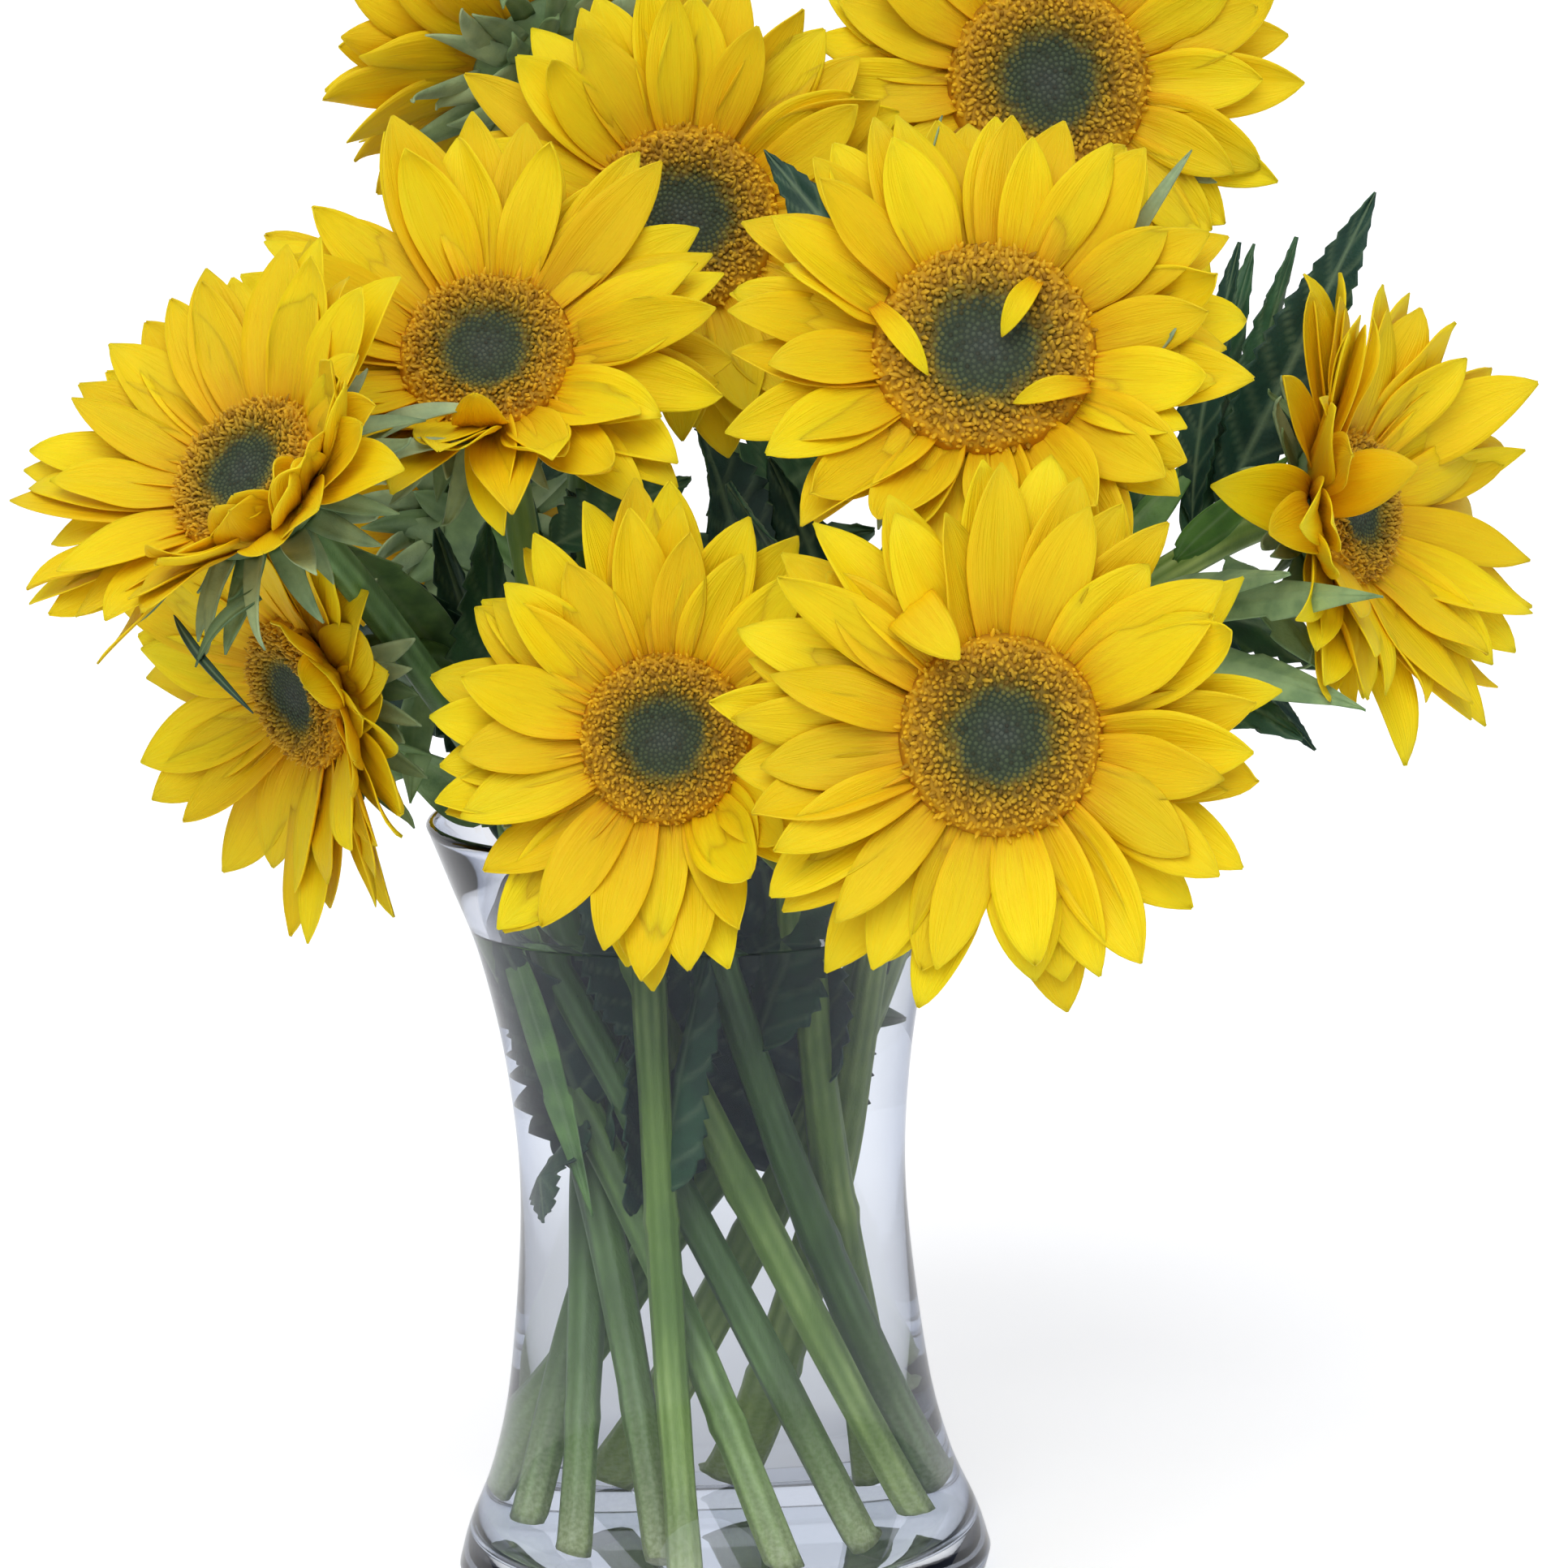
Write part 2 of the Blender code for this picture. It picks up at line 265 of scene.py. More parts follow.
def thicken(grids, thickness):
    """Upper and lower copies of grids of points, half a thickness off along the normal."""
    across = np.gradient(grids, axis=-2)
    along = np.gradient(grids, axis=-3)
    normal = unit(np.cross(across, along) + 1e-15)
    half = np.asarray(thickness)[..., None] / 2 * normal
    shape = (*grids.shape[:-3], -1, 3)
    upper, lower = (grids + half).reshape(shape), (grids - half).reshape(shape)
    return np.concatenate([upper, lower], axis=-2)


def copies(faces, count, size):
    """The same faces for each of so many bodies of this many points."""
    shifted = faces[None] + np.arange(count)[:, None, None] * size
    return shifted.reshape(-1, faces.shape[1])


def make_piece(name, points, faces, finish, slot, instead_of=(), **values):
    """A smooth mesh object riding on the body, with its values stored on its points."""
    mesh = bpy.data.meshes.new(name)
    faces = [face for part in faces for face in part.tolist()]
    mesh.from_pydata(points.reshape(-1, 3).tolist(), [], faces)
    mesh.polygons.foreach_set("use_smooth", np.ones(len(faces), dtype=bool))
    for key, value in values.items():
        layer = mesh.attributes.new(key, "FLOAT", "POINT")
        layer.data.foreach_set("value", np.asarray(value, dtype=np.float32).ravel())
    mesh.materials.append(finish)
    piece = bpy.data.objects.new(name, mesh)
    bpy.context.scene.collection.objects.link(piece)
    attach(piece, "root")
    if instead_of:
        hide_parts(*instead_of)
    print(f"{name}: {len(mesh.vertices)} points, {len(faces)} faces")


# %% [markdown]
# ## Finishes
#
# Each finish is a small web of nodes. What changes over a petal, such as gold at its root
# and lemon at its tip, reads numbers stored on the petal's own points, so the pattern
# follows the petal wherever it bends.

# %% Helpers for node webs
def fill(web, made, inputs):
    """Each named input takes a number, a colour or the output of another node."""
    for key, value in inputs.items():
        socket = made.inputs[key]
        if isinstance(value, bpy.types.NodeSocket):
            web.links.new(value, socket)
        elif socket.type == "RGBA":
            socket.default_value = (*value[:3], 1)
        else:
            socket.default_value = value


def new_finish(name, rough):
    """A material with its web and its Principled shader."""
    finish = bpy.data.materials.new(name)
    finish.use_nodes = True
    web = finish.node_tree
    shader = web.nodes["Principled BSDF"]
    fill(web, shader, {"Roughness": rough})
    return finish, web, shader


def node(web, kind, inputs=None, **settings):
    """One shader node of a kind, with its settings and inputs."""
    made = web.nodes.new("ShaderNode" + kind)
    for key, value in settings.items():
        setattr(made, key, value)
    fill(web, made, inputs or {})
    return made


def stored(web, name):
    """A number stored on the mesh's points."""
    return node(web, "Attribute", attribute_name=name).outputs["Fac"]


def total(web, first, second):
    """First + second."""
    return node(web, "Math", {0: first, 1: second}, operation="ADD").outputs[0]


def product(web, first, second):
    """First * second."""
    return node(web, "Math", {0: first, 1: second}, operation="MULTIPLY").outputs[0]


def ramp(web, factor, stops):
    """Colour bands with soft passages between them: stops are (place, colour)."""
    made = node(web, "ValToRGB", {"Fac": factor})
    made.color_ramp.interpolation = "EASE"
    elements = made.color_ramp.elements
    while len(elements) < len(stops):
        elements.new(0.5)
    for element, (place, colour) in zip(elements, stops):
        element.position = place
        element.color = (*colour, 1)
    return made.outputs["Color"]


def mixed(web, factor, first, second, blend="MIX"):
    """One colour mixed with another by a factor."""
    made = node(web, "Mix", {0: factor, 6: first, 7: second}, data_type="RGBA",
                blend_type=blend)
    return made.outputs[2]


def tinted(web, colour, tint):
    """A colour multiplied by another."""
    return mixed(web, 1.0, colour, tint, "MULTIPLY")


def surface_noise(web, along, across, along_scale, across_scale):
    """Random streaks in a surface's own directions: few along it and many across it."""
    place = node(web, "CombineXYZ", {0: product(web, along, along_scale),
                                     1: product(web, across, across_scale),
                                     2: stored(web, "tint")}).outputs[0]
    made = node(web, "TexNoise", {"Vector": place, "Scale": 1.0, "Detail": 3.0})
    return made.outputs["Fac"]


# %% Two effects that several finishes share, each built once as a group
def new_group(name, given, made):
    """A new group: its web, what it is given, and the node that takes what it made."""
    web = bpy.data.node_groups.new(name, "ShaderNodeTree")
    for title, kind, value in given:
        socket = web.interface.new_socket(title, in_out="INPUT", socket_type=kind)
        socket.default_value = value
    for title, kind in made:
        web.interface.new_socket(title, in_out="OUTPUT", socket_type=kind)
    ends = [web.nodes.new(kind) for kind in ("NodeGroupInput", "NodeGroupOutput")]
    return web, ends[0].outputs, ends[1]


NOISE_SOCKETS = (
    ("Scale", "NodeSocketFloat", 100.0),
    ("Detail", "NodeSocketFloat", 4.0),
    ("Stretch", "NodeSocketVector", (1.0, 1.0, 1.0)),
)


def object_noise(web, given):
    """Soft random values fixed to the object: Scale of them to the metre, stretched."""
    place = node(web, "TexCoord").outputs["Object"]
    place = node(web, "VectorMath", {0: place, 1: given["Stretch"]},
                 operation="MULTIPLY").outputs[0]
    return node(web, "TexNoise", {"Vector": place, "Scale": given["Scale"],
                                  "Detail": given["Detail"]}).outputs["Fac"]


def patches_group():
    """Cloudy patches that pass from a low tone to a high one, and the bare noise."""
    web, given, made = new_group("cloudy patches", (
        *NOISE_SOCKETS,
        ("From", "NodeSocketFloat", 0.3),
        ("To", "NodeSocketFloat", 0.7),
        ("Low", "NodeSocketColor", (0, 0, 0, 1)),
        ("High", "NodeSocketColor", (1, 1, 1, 1)),
    ), (("Colour", "NodeSocketColor"), ("Noise", "NodeSocketFloat")))
    noise = object_noise(web, given)
    share = node(web, "MapRange", {"Value": noise, "From Min": given["From"],
                                   "From Max": given["To"]},
                 interpolation_type="SMOOTHSTEP").outputs["Result"]
    colour = mixed(web, share, given["Low"], given["High"])
    fill(web, made, {"Colour": colour, "Noise": noise})
    return web


def grain_group():
    """Fine relief: the surface's normal, bent by noise of this depth."""
    web, given, made = new_group("fine grain", (
        *NOISE_SOCKETS,
        ("Depth", "NodeSocketFloat", 0.0003),
        ("Strength", "NodeSocketFloat", 0.5),
    ), (("Normal", "NodeSocketVector"),))
    bump = node(web, "Bump", {"Height": object_noise(web, given),
                              "Distance": given["Depth"], "Strength": given["Strength"]})
    fill(web, made, {"Normal": bump.outputs["Normal"]})
    return web


PATCHES, GRAIN = patches_group(), grain_group()


def patches(web, scale, low, high, band=(0.3, 0.7), detail=4.0, stretch=(1, 1, 1)):
    """The patches group placed in a finish with its own values; gives its colour."""
    return node(web, "Group", {
        "Scale": scale, "Detail": detail, "Stretch": stretch, "From": band[0],
        "To": band[1], "Low": low, "High": high}, node_tree=PATCHES).outputs["Colour"]


def grain(web, scale, depth, strength=0.5, detail=4.0, stretch=(1, 1, 1)):
    """The grain group placed in a finish with its own values; gives the bent normal."""
    return node(web, "Group", {
        "Scale": scale, "Detail": detail, "Stretch": stretch, "Depth": depth,
        "Strength": strength}, node_tree=GRAIN).outputs["Normal"]


# %% The petals' finish
def petal_finish():
    """Gold at the root, yellow along the blade, lemon at the tip, orange underneath."""
    finish, web, shader = new_finish("petal skin", 0.6)
    along, across = stored(web, "along"), stored(web, "across")
    streaks = surface_noise(web, along, across, 2.5, 9.0)
    patchy = total(web, along, product(web, total(web, streaks, -0.5), 0.6))
    face = ramp(web, patchy, ((0.0, (0.70, 0.30, 0.001)), (0.14, (0.85, 0.48, 0.001)),
                              (0.45, (0.92, 0.61, 0.002)), (0.8, (0.92, 0.66, 0.004)),
                              (1.0, (0.90, 0.68, 0.012))))
    back = ramp(web, patchy, ((0.0, (0.68, 0.30, 0.002)), (0.4, (0.84, 0.50, 0.002)),
                              (1.0, (0.88, 0.61, 0.006))))
    colour = mixed(web, stored(web, "under"), face, back)
    shade = ramp(web, stored(web, "tint"), (
        (0.0, (0.90, 0.82, 0.8)), (1.0, (1.04, 1.04, 1.0))))
    bump = node(web, "Bump", {"Height": surface_noise(web, along, across, 3.0, 16.0),
                              "Distance": 0.0006, "Strength": 0.6})
    fill(web, shader, {
        "Base Color": tinted(web, colour, shade),
        "Specular IOR Level": 0.22,
        "Subsurface Weight": 0.35,
        "Subsurface Radius": (1.0, 0.6, 0.1),
        "Subsurface Scale": 0.0025,
        "Normal": bump.outputs["Normal"],
    })
    return finish


PETAL = petal_finish()


# %% The disc's finish
def disc_finish():
    """Grey-green buds in the middle, then golden florets flecked with brown."""
    finish, web, shader = new_finish("disc florets", 0.7)
    noise = node(web, "Group", {"Scale": 220.0}, node_tree=PATCHES).outputs["Noise"]
    ragged = product(web, total(web, noise, -0.5), 0.22)
    out = total(web, stored(web, "out"), ragged)
    base = ramp(web, out, ((0.0, (0.035, 0.050, 0.040)), (0.40, (0.028, 0.046, 0.024)),
                           (0.54, (0.22, 0.15, 0.012)), (0.75, (0.50, 0.28, 0.012)),
                           (1.0, (0.70, 0.40, 0.008))))
    tips = ramp(web, out, ((0.0, (0.070, 0.085, 0.070)), (0.34, (0.058, 0.080, 0.042)),
                           (0.48, (0.16, 0.15, 0.03)), (0.60, (0.52, 0.32, 0.02)),
                           (0.85, (0.66, 0.38, 0.016)), (1.0, (0.76, 0.46, 0.01))))
    colour = mixed(web, stored(web, "high"), base, tips)
    fleck = ramp(web, stored(web, "tint"), (
        (0.0, (0.50, 0.42, 0.36)), (0.22, (0.82, 0.77, 0.7)),
        (0.5, (1.0, 0.97, 0.9)), (1.0, (1.1, 1.1, 1.0))))
    fill(web, shader, {"Base Color": tinted(web, colour, fleck), "Specular IOR Level": 0.3,
                       "Normal": grain(web, 2500.0, 0.0002)})
    return finish


DISC = disc_finish()


# %% Greens: stems, bracts and leaves
def stem_finish():
    """Fresh green with paler ribs, blotched, and a pale pith on the cut end."""
    finish, web, shader = new_finish("stem skin", 0.5)
    worn = patches(web, 60.0, (0.1,) * 3, (0.75,) * 3, (0.35, 0.7), 3.0, (1, 1, 0.4))
    green = mixed(web, product(web, stored(web, "rib"), worn), (0.13, 0.24, 0.045),
                  (0.38, 0.54, 0.19))
    tone = ramp(web, stored(web, "tint"), (
        (0.0, (0.42, 0.55, 0.60)), (0.5, (0.95, 1.0, 1.0)), (1.0, (1.6, 1.4, 1.3))))
    blotch = patches(web, 90.0, (0.72, 0.78, 0.66), (1.2, 1.15, 1.1), (0.35, 0.7), 5.0,
                     (1, 1, 0.3))
    green = tinted(web, tinted(web, green, tone), blotch)
    pith = patches(web, 900.0, (0.42, 0.45, 0.22), (0.66, 0.68, 0.42))
    fill(web, shader, {"Base Color": mixed(web, stored(web, "cut"), green, pith),
                       "Normal": grain(web, 1400.0, 0.0004, 0.5, 3.0, (1, 1, 0.15))})
    return finish


def leaf_finish(name, stops):
    """Green by the leaf's tone, cloudy, with paler veins and a fine matt grain."""
    finish, web, shader = new_finish(name, 0.55)
    body = ramp(web, stored(web, "tone"), stops)
    cloud = patches(web, 130.0, (0.7, 0.75, 0.75), (1.25, 1.2, 1.15), detail=5.0)
    body = tinted(web, body, cloud)
    pale = mixed(web, 0.35, body, (0.30, 0.42, 0.22))
    fill(web, shader, {"Base Color": mixed(web, stored(web, "vein"), body, pale),
                       "Specular IOR Level": 0.3,
                       "Normal": grain(web, 1100.0, 0.0003, 0.6)})
    return finish


STEM = stem_finish()
LEAF = leaf_finish("leaf skin", (
    (0.0, (0.008, 0.036, 0.028)), (0.4, (0.030, 0.095, 0.040)),
    (0.7, (0.10, 0.25, 0.035)), (1.0, (0.26, 0.40, 0.19))))
BRACT = leaf_finish("bract skin", (
    (0.0, (0.018, 0.050, 0.030)), (0.5, (0.16, 0.25, 0.105)), (1.0, (0.36, 0.46, 0.25))))


# %% Glass and water
def clear_finish(name, colour, rim, ior, sheen, wave, depth, lamp_share):
    """A clear refracting body that lets the lamps' light through to what it holds.

    Seen straight on it has its own colour, which passes to the rim's seen edge on; that
    darker rim is partly the body's own tint and partly painted reflection of dark
    surroundings.
    """
    finish, web, shader = new_finish(name, 0.0)
    # Painted reflection: edge on, the base colour passes to the darker rim colour. This is
    # partly the glass's own tint and partly painted dark edges.
    edge = node(web, "LayerWeight", {"Blend": 0.5}).outputs["Facing"]
    fill(web, shader, {
        "Base Color": ramp(web, edge, ((0.35, colour), (0.92, rim))),
        "Transmission Weight": 1.0,
        "IOR": ior,
        "Specular Tint": sheen,
        "Normal": grain(web, wave, depth, 0.25, 1.0),
    })
    through = node(web, "BsdfTransparent", {"Color": lamp_share})
    shadow = node(web, "LightPath").outputs["Is Shadow Ray"]
    either = node(web, "MixShader", {0: shadow, 1: shader.outputs[0],
                                     2: through.outputs[0]})
    fill(web, web.nodes["Material Output"], {"Surface": either.outputs[0]})
    return finish


# The vase's slate rim colour is partly painted reflection: dark edges like those the
# surroundings would mirror.
GLASS = clear_finish("vase glass", (0.95, 0.965, 1.0), (0.28, 0.34, 0.50), 1.5,
                     (0.28, 0.30, 0.36), 18.0, 0.0006, (0.95, 0.965, 1.0))
WATER = clear_finish("water", (0.97, 0.985, 0.99), (0.90, 0.94, 0.98), 1.33,
                     (0.4, 0.4, 0.42), 25.0, 0.0003, (0.99, 1.0, 1.0))


# %% [markdown]
# ## Petals
#
# What looks like one flower is hundreds. The yellow petals are ray florets: long blades,
# narrow at the root, widest a little past the middle and drawn to a point, with a shallow
# channel and two ribs along them. They stand in three staggered rings. One formula bends
# them all at once: each blade leaves the disc at its own lift, and the lift changes along
# it, so adding up small steps at that slope draws its curve.

# %% Blades that leave a disc
def petal_width(s):
    """Share of the full width: broad from the root, full past the middle, then a point."""
    broad = 0.56 + 0.44 * np.sin(math.pi / 2 * np.minimum(s / 0.6, 1))
    return broad * (1 - s**4.0) ** 0.9


def bract_width(s):
    """A bract is widest near its root and runs out in a long thin point."""
    return (1 - s) ** 0.9 * (0.75 + 0.9 * s) + 0.04 * (1 - s)


def smooth_step(s, low, high):
    """0 below low, 1 above high, and a smooth S between them."""
    u = np.clip((s - low) / (high - low), 0, 1)
    return u * u * (3 - 2 * u)


LEAST_WIDTH = 0.03  # share of a blade's full width that its tip keeps


def blades(head, b, width_of, rows, columns):
    """Points of many blades at once, shaped (blade, row, column, 3).

    Slope along a blade = lift + bend * s + curl * (s beyond 0.7) squared + fold past the
    middle; the steps are summed into distance out and height. The channel lifts the edges
    with the square of the distance from the midline, and roll turns the blade about it.
    """
    s = np.linspace(0, 1, rows)
    t = np.linspace(1, -1, columns)
    b = {key: np.broadcast_to(value, b["turn"].shape)[:, None] for key, value in b.items()}
    slope = b["lift"] + b["bend"] * s + b["curl"] * np.clip(s - 0.7, 0, 1) ** 2 * 11
    slope = slope + b["fold"] * smooth_step(s, 0.34, 0.54)
    step = b["length"] / (rows - 1)
    mid = np.pad((slope[:, 1:] + slope[:, :-1]) / 2, ((0, 0), (1, 0)))
    moved = step * (np.arange(rows) > 0)  # the first point stays at the start
    out = b["start"] + np.cumsum(np.cos(mid) * moved, axis=1)
    high = b["height"] + np.cumsum(np.sin(mid) * moved, axis=1)
    drift = b["sway"] * b["length"] * s**2
    cos, sin = np.cos(b["turn"])[..., None], np.sin(b["turn"])[..., None]
    outward = head["right"] * cos + head["up"] * sin
    sideways = head["up"] * cos - head["right"] * sin
    axis = head["axis"]
    line = head["centre"] + outward * out[..., None] + axis * high[..., None]
    line = line + sideways * drift[..., None]
    normal = axis * np.cos(slope)[..., None] - outward * np.sin(slope)[..., None]
    roll = (b["roll"] + b["twist"] * s)[..., None]
    across = sideways * np.cos(roll) + normal * np.sin(roll)
    normal = normal * np.cos(roll) - sideways * np.sin(roll)
    half = (b["half"] * np.maximum(width_of(s), LEAST_WIDTH))[..., None]
    offset = half * t
    ripple = b["ripple"][..., None] * np.sin(9 * s + b["phase"])[..., None] * t**2
    ribs = -0.05 * np.cos(math.pi * 2.4 * t) * half * (1 - 0.7 * s)[None, :, None]
    lifted = half * (b["channel"][..., None] * (t**2 - 0.3)) + ribs + ripple
    return (line[:, :, None] + across[:, :, None] * offset[..., None]
            + normal[:, :, None] * lifted[..., None])


def arched_blade(head, route, width_of, half, rows, columns):
    """One blade over a flower, from (turn, out, high) to (turn, out, high), bowed up.

    Middle line = straight line between the ends + arch * sin(pi s) along the axis.
    """
    (turn_a, out_a, high_a), (turn_b, out_b, high_b), arch = route
    out, high = np.array([[out_a, out_b], [high_a, high_b]]) * MM
    ends = head_points(head, out, np.radians([turn_a, turn_b]), high)
    s = np.linspace(0, 1, rows)[:, None]
    t = np.linspace(1, -1, columns)
    line = ends[0] + (ends[1] - ends[0]) * s
    line = line + head["axis"] * arch * MM * np.sin(math.pi * s)
    way = unit(ends[1] - ends[0])
    across = unit(np.cross(head["axis"], way))
    wide = half * MM * np.maximum(width_of(s), LEAST_WIDTH) * t
    return (line[:, None] + across * wide[..., None]
            + head["axis"] * (0.5 * wide * t - 0.2 * half * MM)[..., None])


def head_points(head, out, turn, high):
    """Points at a distance out, a turn and a height in a flower's own directions."""
    return (head["centre"] + (out * np.cos(turn))[..., None] * head["right"]
            + (out * np.sin(turn))[..., None] * head["up"]
            + high[..., None] * head["axis"])


def blade_bodies(grids, thickness, tint, first=0):
    """Closed bodies of blades: points, faces, and the numbers stored on their points."""
    count, rows, columns, _ = grids.shape
    size = rows * columns
    s, t = np.meshgrid(np.linspace(0, 1, rows), np.linspace(1, -1, columns), indexing="ij")
    values = {
        "along": np.tile(s.ravel(), 2 * count),
        "across": np.tile(t.ravel(), 2 * count),
        "under": np.tile(np.repeat([0.0, 1.0], size), count),
        "tint": np.repeat(tint, 2 * size),
    }
    faces = copies(sheet_faces(rows, columns), count, 2 * size) + first
    return thicken(grids, thickness).reshape(-1, 3), faces, values


def midrib(values):
    """1 on the middle line of a blade, falling to 0 at a third of its half width."""
    return np.clip(1 - 3 * np.abs(values["across"]), 0, 1)


# %% Three staggered rings of petals on each flower
# Each ring: petals, share of the reach, height in mm, extra lift, half width in mm.
RINGS = ((20, 1.04, 0.6, -0.04, 9.0), (20, 0.98, 1.5, 0.05, 9.0),
         (16, 0.87, 2.4, 0.17, 8.2))
# Petals drawn up on one side, in degrees: the side, its reach, extra lift; shortening.
DRAWN_UP = {
    "01": ((-55, 38, 42, 0.38), (30, 32, 22, 0.25)),
    "02": ((5, 42, 0, 0.45),),
    "03": ((-85, 40, 34, 0.10),),
    "08": ((-50, 12, 60, 0.2),),
    "10": ((165, 38, 17, 0.0), (-10, 60, 0, -0.18)),
}
# Petals of the front ring with the outer half folded back over the flower, by turn.
FOLDED_BACK = {"09": (122,)}
# Small petals lying over the disc: turn, distance out and height of each end, and arch.
OVER_DISC = {
    "07": (((158, 28, 8), (-149, 16, 10), 3), ((50, 20, 9), (7, 4, 11), 4),
           ((-25, 27, 8), (-69, 17, 10), 3)),
    "04": (((-128, 25, 8), (-112, 12, 10), 3),),
}


ROOT_SHARE = 0.86  # the petals leave the disc at this share of its radius


def turn_from(turn, side):
    """Angle from a side given in degrees, between minus and plus half a circle."""
    return np.angle(np.exp(1j * (turn - math.radians(side))))


def petal_numbers(head, rng):
    """Lift, length, width and turn of each petal of a flower, ring by ring.

    Pull of a drawn-up side = exp(-(angle from it / how far it reaches) squared).
    """
    name, radius, reach = head["name"], head["radius"], head["reach"]
    turn = np.concatenate([
        (np.arange(count) + 0.5 * place) * 2 * math.pi / count
        for place, (count, *_) in enumerate(RINGS)
    ])
    share, height, extra_lift, half = (
        np.concatenate([np.full(ring[0], ring[i]) for ring in RINGS]) for i in (1, 2, 3, 4)
    )
    count = len(turn)
    turn = turn + rng.normal(0, 0.085, count) + 0.4 * int(name)
    length = (reach - radius * ROOT_SHARE) * share * rng.uniform(0.86, 1.06, count)
    lift = head["cup"] + extra_lift + rng.normal(0, 0.09, count)
    bend = rng.normal(-0.12, 0.16, count)
    for side, spread, extra, shorter in DRAWN_UP.get(name, ()):
        pull = np.exp(-((turn_from(turn, side) / math.radians(spread)) ** 2))
        lift = lift + math.radians(extra) * pull * rng.uniform(0.6, 1.1, count)
        bend = bend + 0.5 * pull * rng.normal(0.2, 1, count)
        length = length * (1 - shorter * pull)
    fold = np.zeros(count)
    first_front = RINGS[0][0] + RINGS[1][0]
    for side in FOLDED_BACK.get(name, ()):
        nearest = int(np.argmin(np.abs(turn_from(turn[first_front:], side))))
        fold[first_front + nearest] = rng.uniform(2.2, 2.7)
    return {
        "turn": turn,
        "start": radius * ROOT_SHARE,
        "height": height * MM,
        "length": length,
        "half": half * MM * rng.uniform(0.85, 1.12, count),
        "lift": lift,
        "bend": bend,
        "curl": rng.normal(0, 0.4, count),
        "fold": fold,
        "sway": rng.normal(0, 0.07, count),
        "roll": rng.normal(0.16, 0.10, count),
        "twist": rng.normal(0, 0.30, count),
        "channel": rng.uniform(0.05, 0.40, count),
        "ripple": rng.uniform(0.0, 0.9, count) * MM,
        "phase": rng.uniform(0, ROUND, count),
    }


def make_petals(head):
    """All ray florets of a flower as one mesh of separate closed blades."""
    name, size = head["name"], (19, 9)
    rng = np.random.default_rng(100 + int(name))
    grids = blades(head, petal_numbers(head, rng), petal_width, *size)
    small = [arched_blade(head, route, petal_width, 3.2, *size)[None]
             for route in OVER_DISC.get(name, ())]
    grids = np.concatenate([grids, *small])
    points, faces, values = blade_bodies(grids, 0.35 * MM, rng.uniform(0, 1, len(grids)))
    make_piece(f"ray_florets_{name}", points, [faces], PETAL, "petal", [f"petals_{name}"],
               **values)


for head in heads.values():
    make_petals(head)


# %% [markdown]
# ## The disc
#
# The middle of a sunflower is hundreds of tiny florets set out by one rule: each is turned
# about 137.5 degrees from the one before, and its distance from the middle grows with the
# square root of its number, which packs them evenly into two sets of spirals. The inner
# ones are still tight green buds; the outer ones have opened and show curled golden tips.

# %% Florets set out in spirals
GOLDEN_TURN = math.pi * (3 - math.sqrt(5))
# Height of the cushion the florets stand on, against the share of the disc's radius.
CUSHION = ((0.0, 5.6), (0.3, 6.0), (0.55, 7.0), (0.78, 7.6), (0.92, 6.4), (1.0, 3.6))
CUSHION_AT, CUSHION_HIGH = np.array(CUSHION).T


def cushion_height(share):
    """Height above the petals' plane of the cushion, by the share of the radius."""
    return np.interp(share, CUSHION_AT, CUSHION_HIGH) * MM


FLORETS, FLORET_SIDES = 1000, 5
# The four rings of a floret: share of its height, girth of a bud and of an open one.
LEVEL = np.array([0.0, 0.35, 0.7, 1.0])
BUD_GIRTH = np.array([0.52, 0.55, 0.46, 0.20])
OPEN_GIRTH = np.array([0.42, 0.36, 0.46, 0.18])


def florets(head, rng):
    """Points of all florets, shaped (floret, ring, side, 3), and their numbers.

    Distance out = radius * sqrt(number / count), turn = number * golden turn. A tip is
    shifted by the square of the height share: outwards, and by a random lean.
    """
    radius = head["radius"]
    k = np.arange(FLORETS) + 0.5
    share, turn = np.sqrt(k / FLORETS), k * GOLDEN_TURN
    gap = radius * math.sqrt(math.pi / FLORETS)
    opened = np.clip((share - 0.46) / 0.12, 0, 1)[:, None]
    tall = (0.7 + 1.5 * opened[:, 0] * rng.uniform(0.5, 1.2, FLORETS)) * MM
    wide = gap * (BUD_GIRTH * (1 - opened) + OPEN_GIRTH * opened)
    lean = rng.normal(0, 0.55, (FLORETS, 2)) * opened * gap
    lean = lean + 0.35 * gap * opened * np.column_stack([np.cos(turn), np.sin(turn)])
    shift = lean[:, None] * LEVEL[:, None] ** 2
    angle = round_turns(FLORET_SIDES) + rng.uniform(0, ROUND, FLORETS)[:, None, None]
    ring_r = wide[..., None] * np.cos(angle) + shift[..., :1]
    ring_u = wide[..., None] * np.sin(angle) + shift[..., 1:]
    high = cushion_height(share)[:, None] - 0.5 * MM + tall[:, None] * LEVEL
    base = head_points(head, (radius * 0.97 * share)[:, None], turn[:, None], high)
    points = (base[:, :, None] + ring_r[..., None] * head["right"]
              + ring_u[..., None] * head["up"])
    tint = rng.uniform(0, 1, FLORETS)[:, None, None]
    numbers = {"out": share[:, None, None], "high": LEVEL[:, None], "tint": tint}
    return points, {key: np.broadcast_to(value, points.shape[:3]).ravel()
                    for key, value in numbers.items()}


def turned_on_head(head, out, high, ends, sides):
    """Rings about a flower's axis, bottom to top, then the two middle points."""
    rings = head_points(head, out[:, None], round_turns(sides), high[:, None])
    middles = head["centre"] + np.outer(ends, head["axis"])
    return np.vstack([rings.reshape(-1, 3), middles])


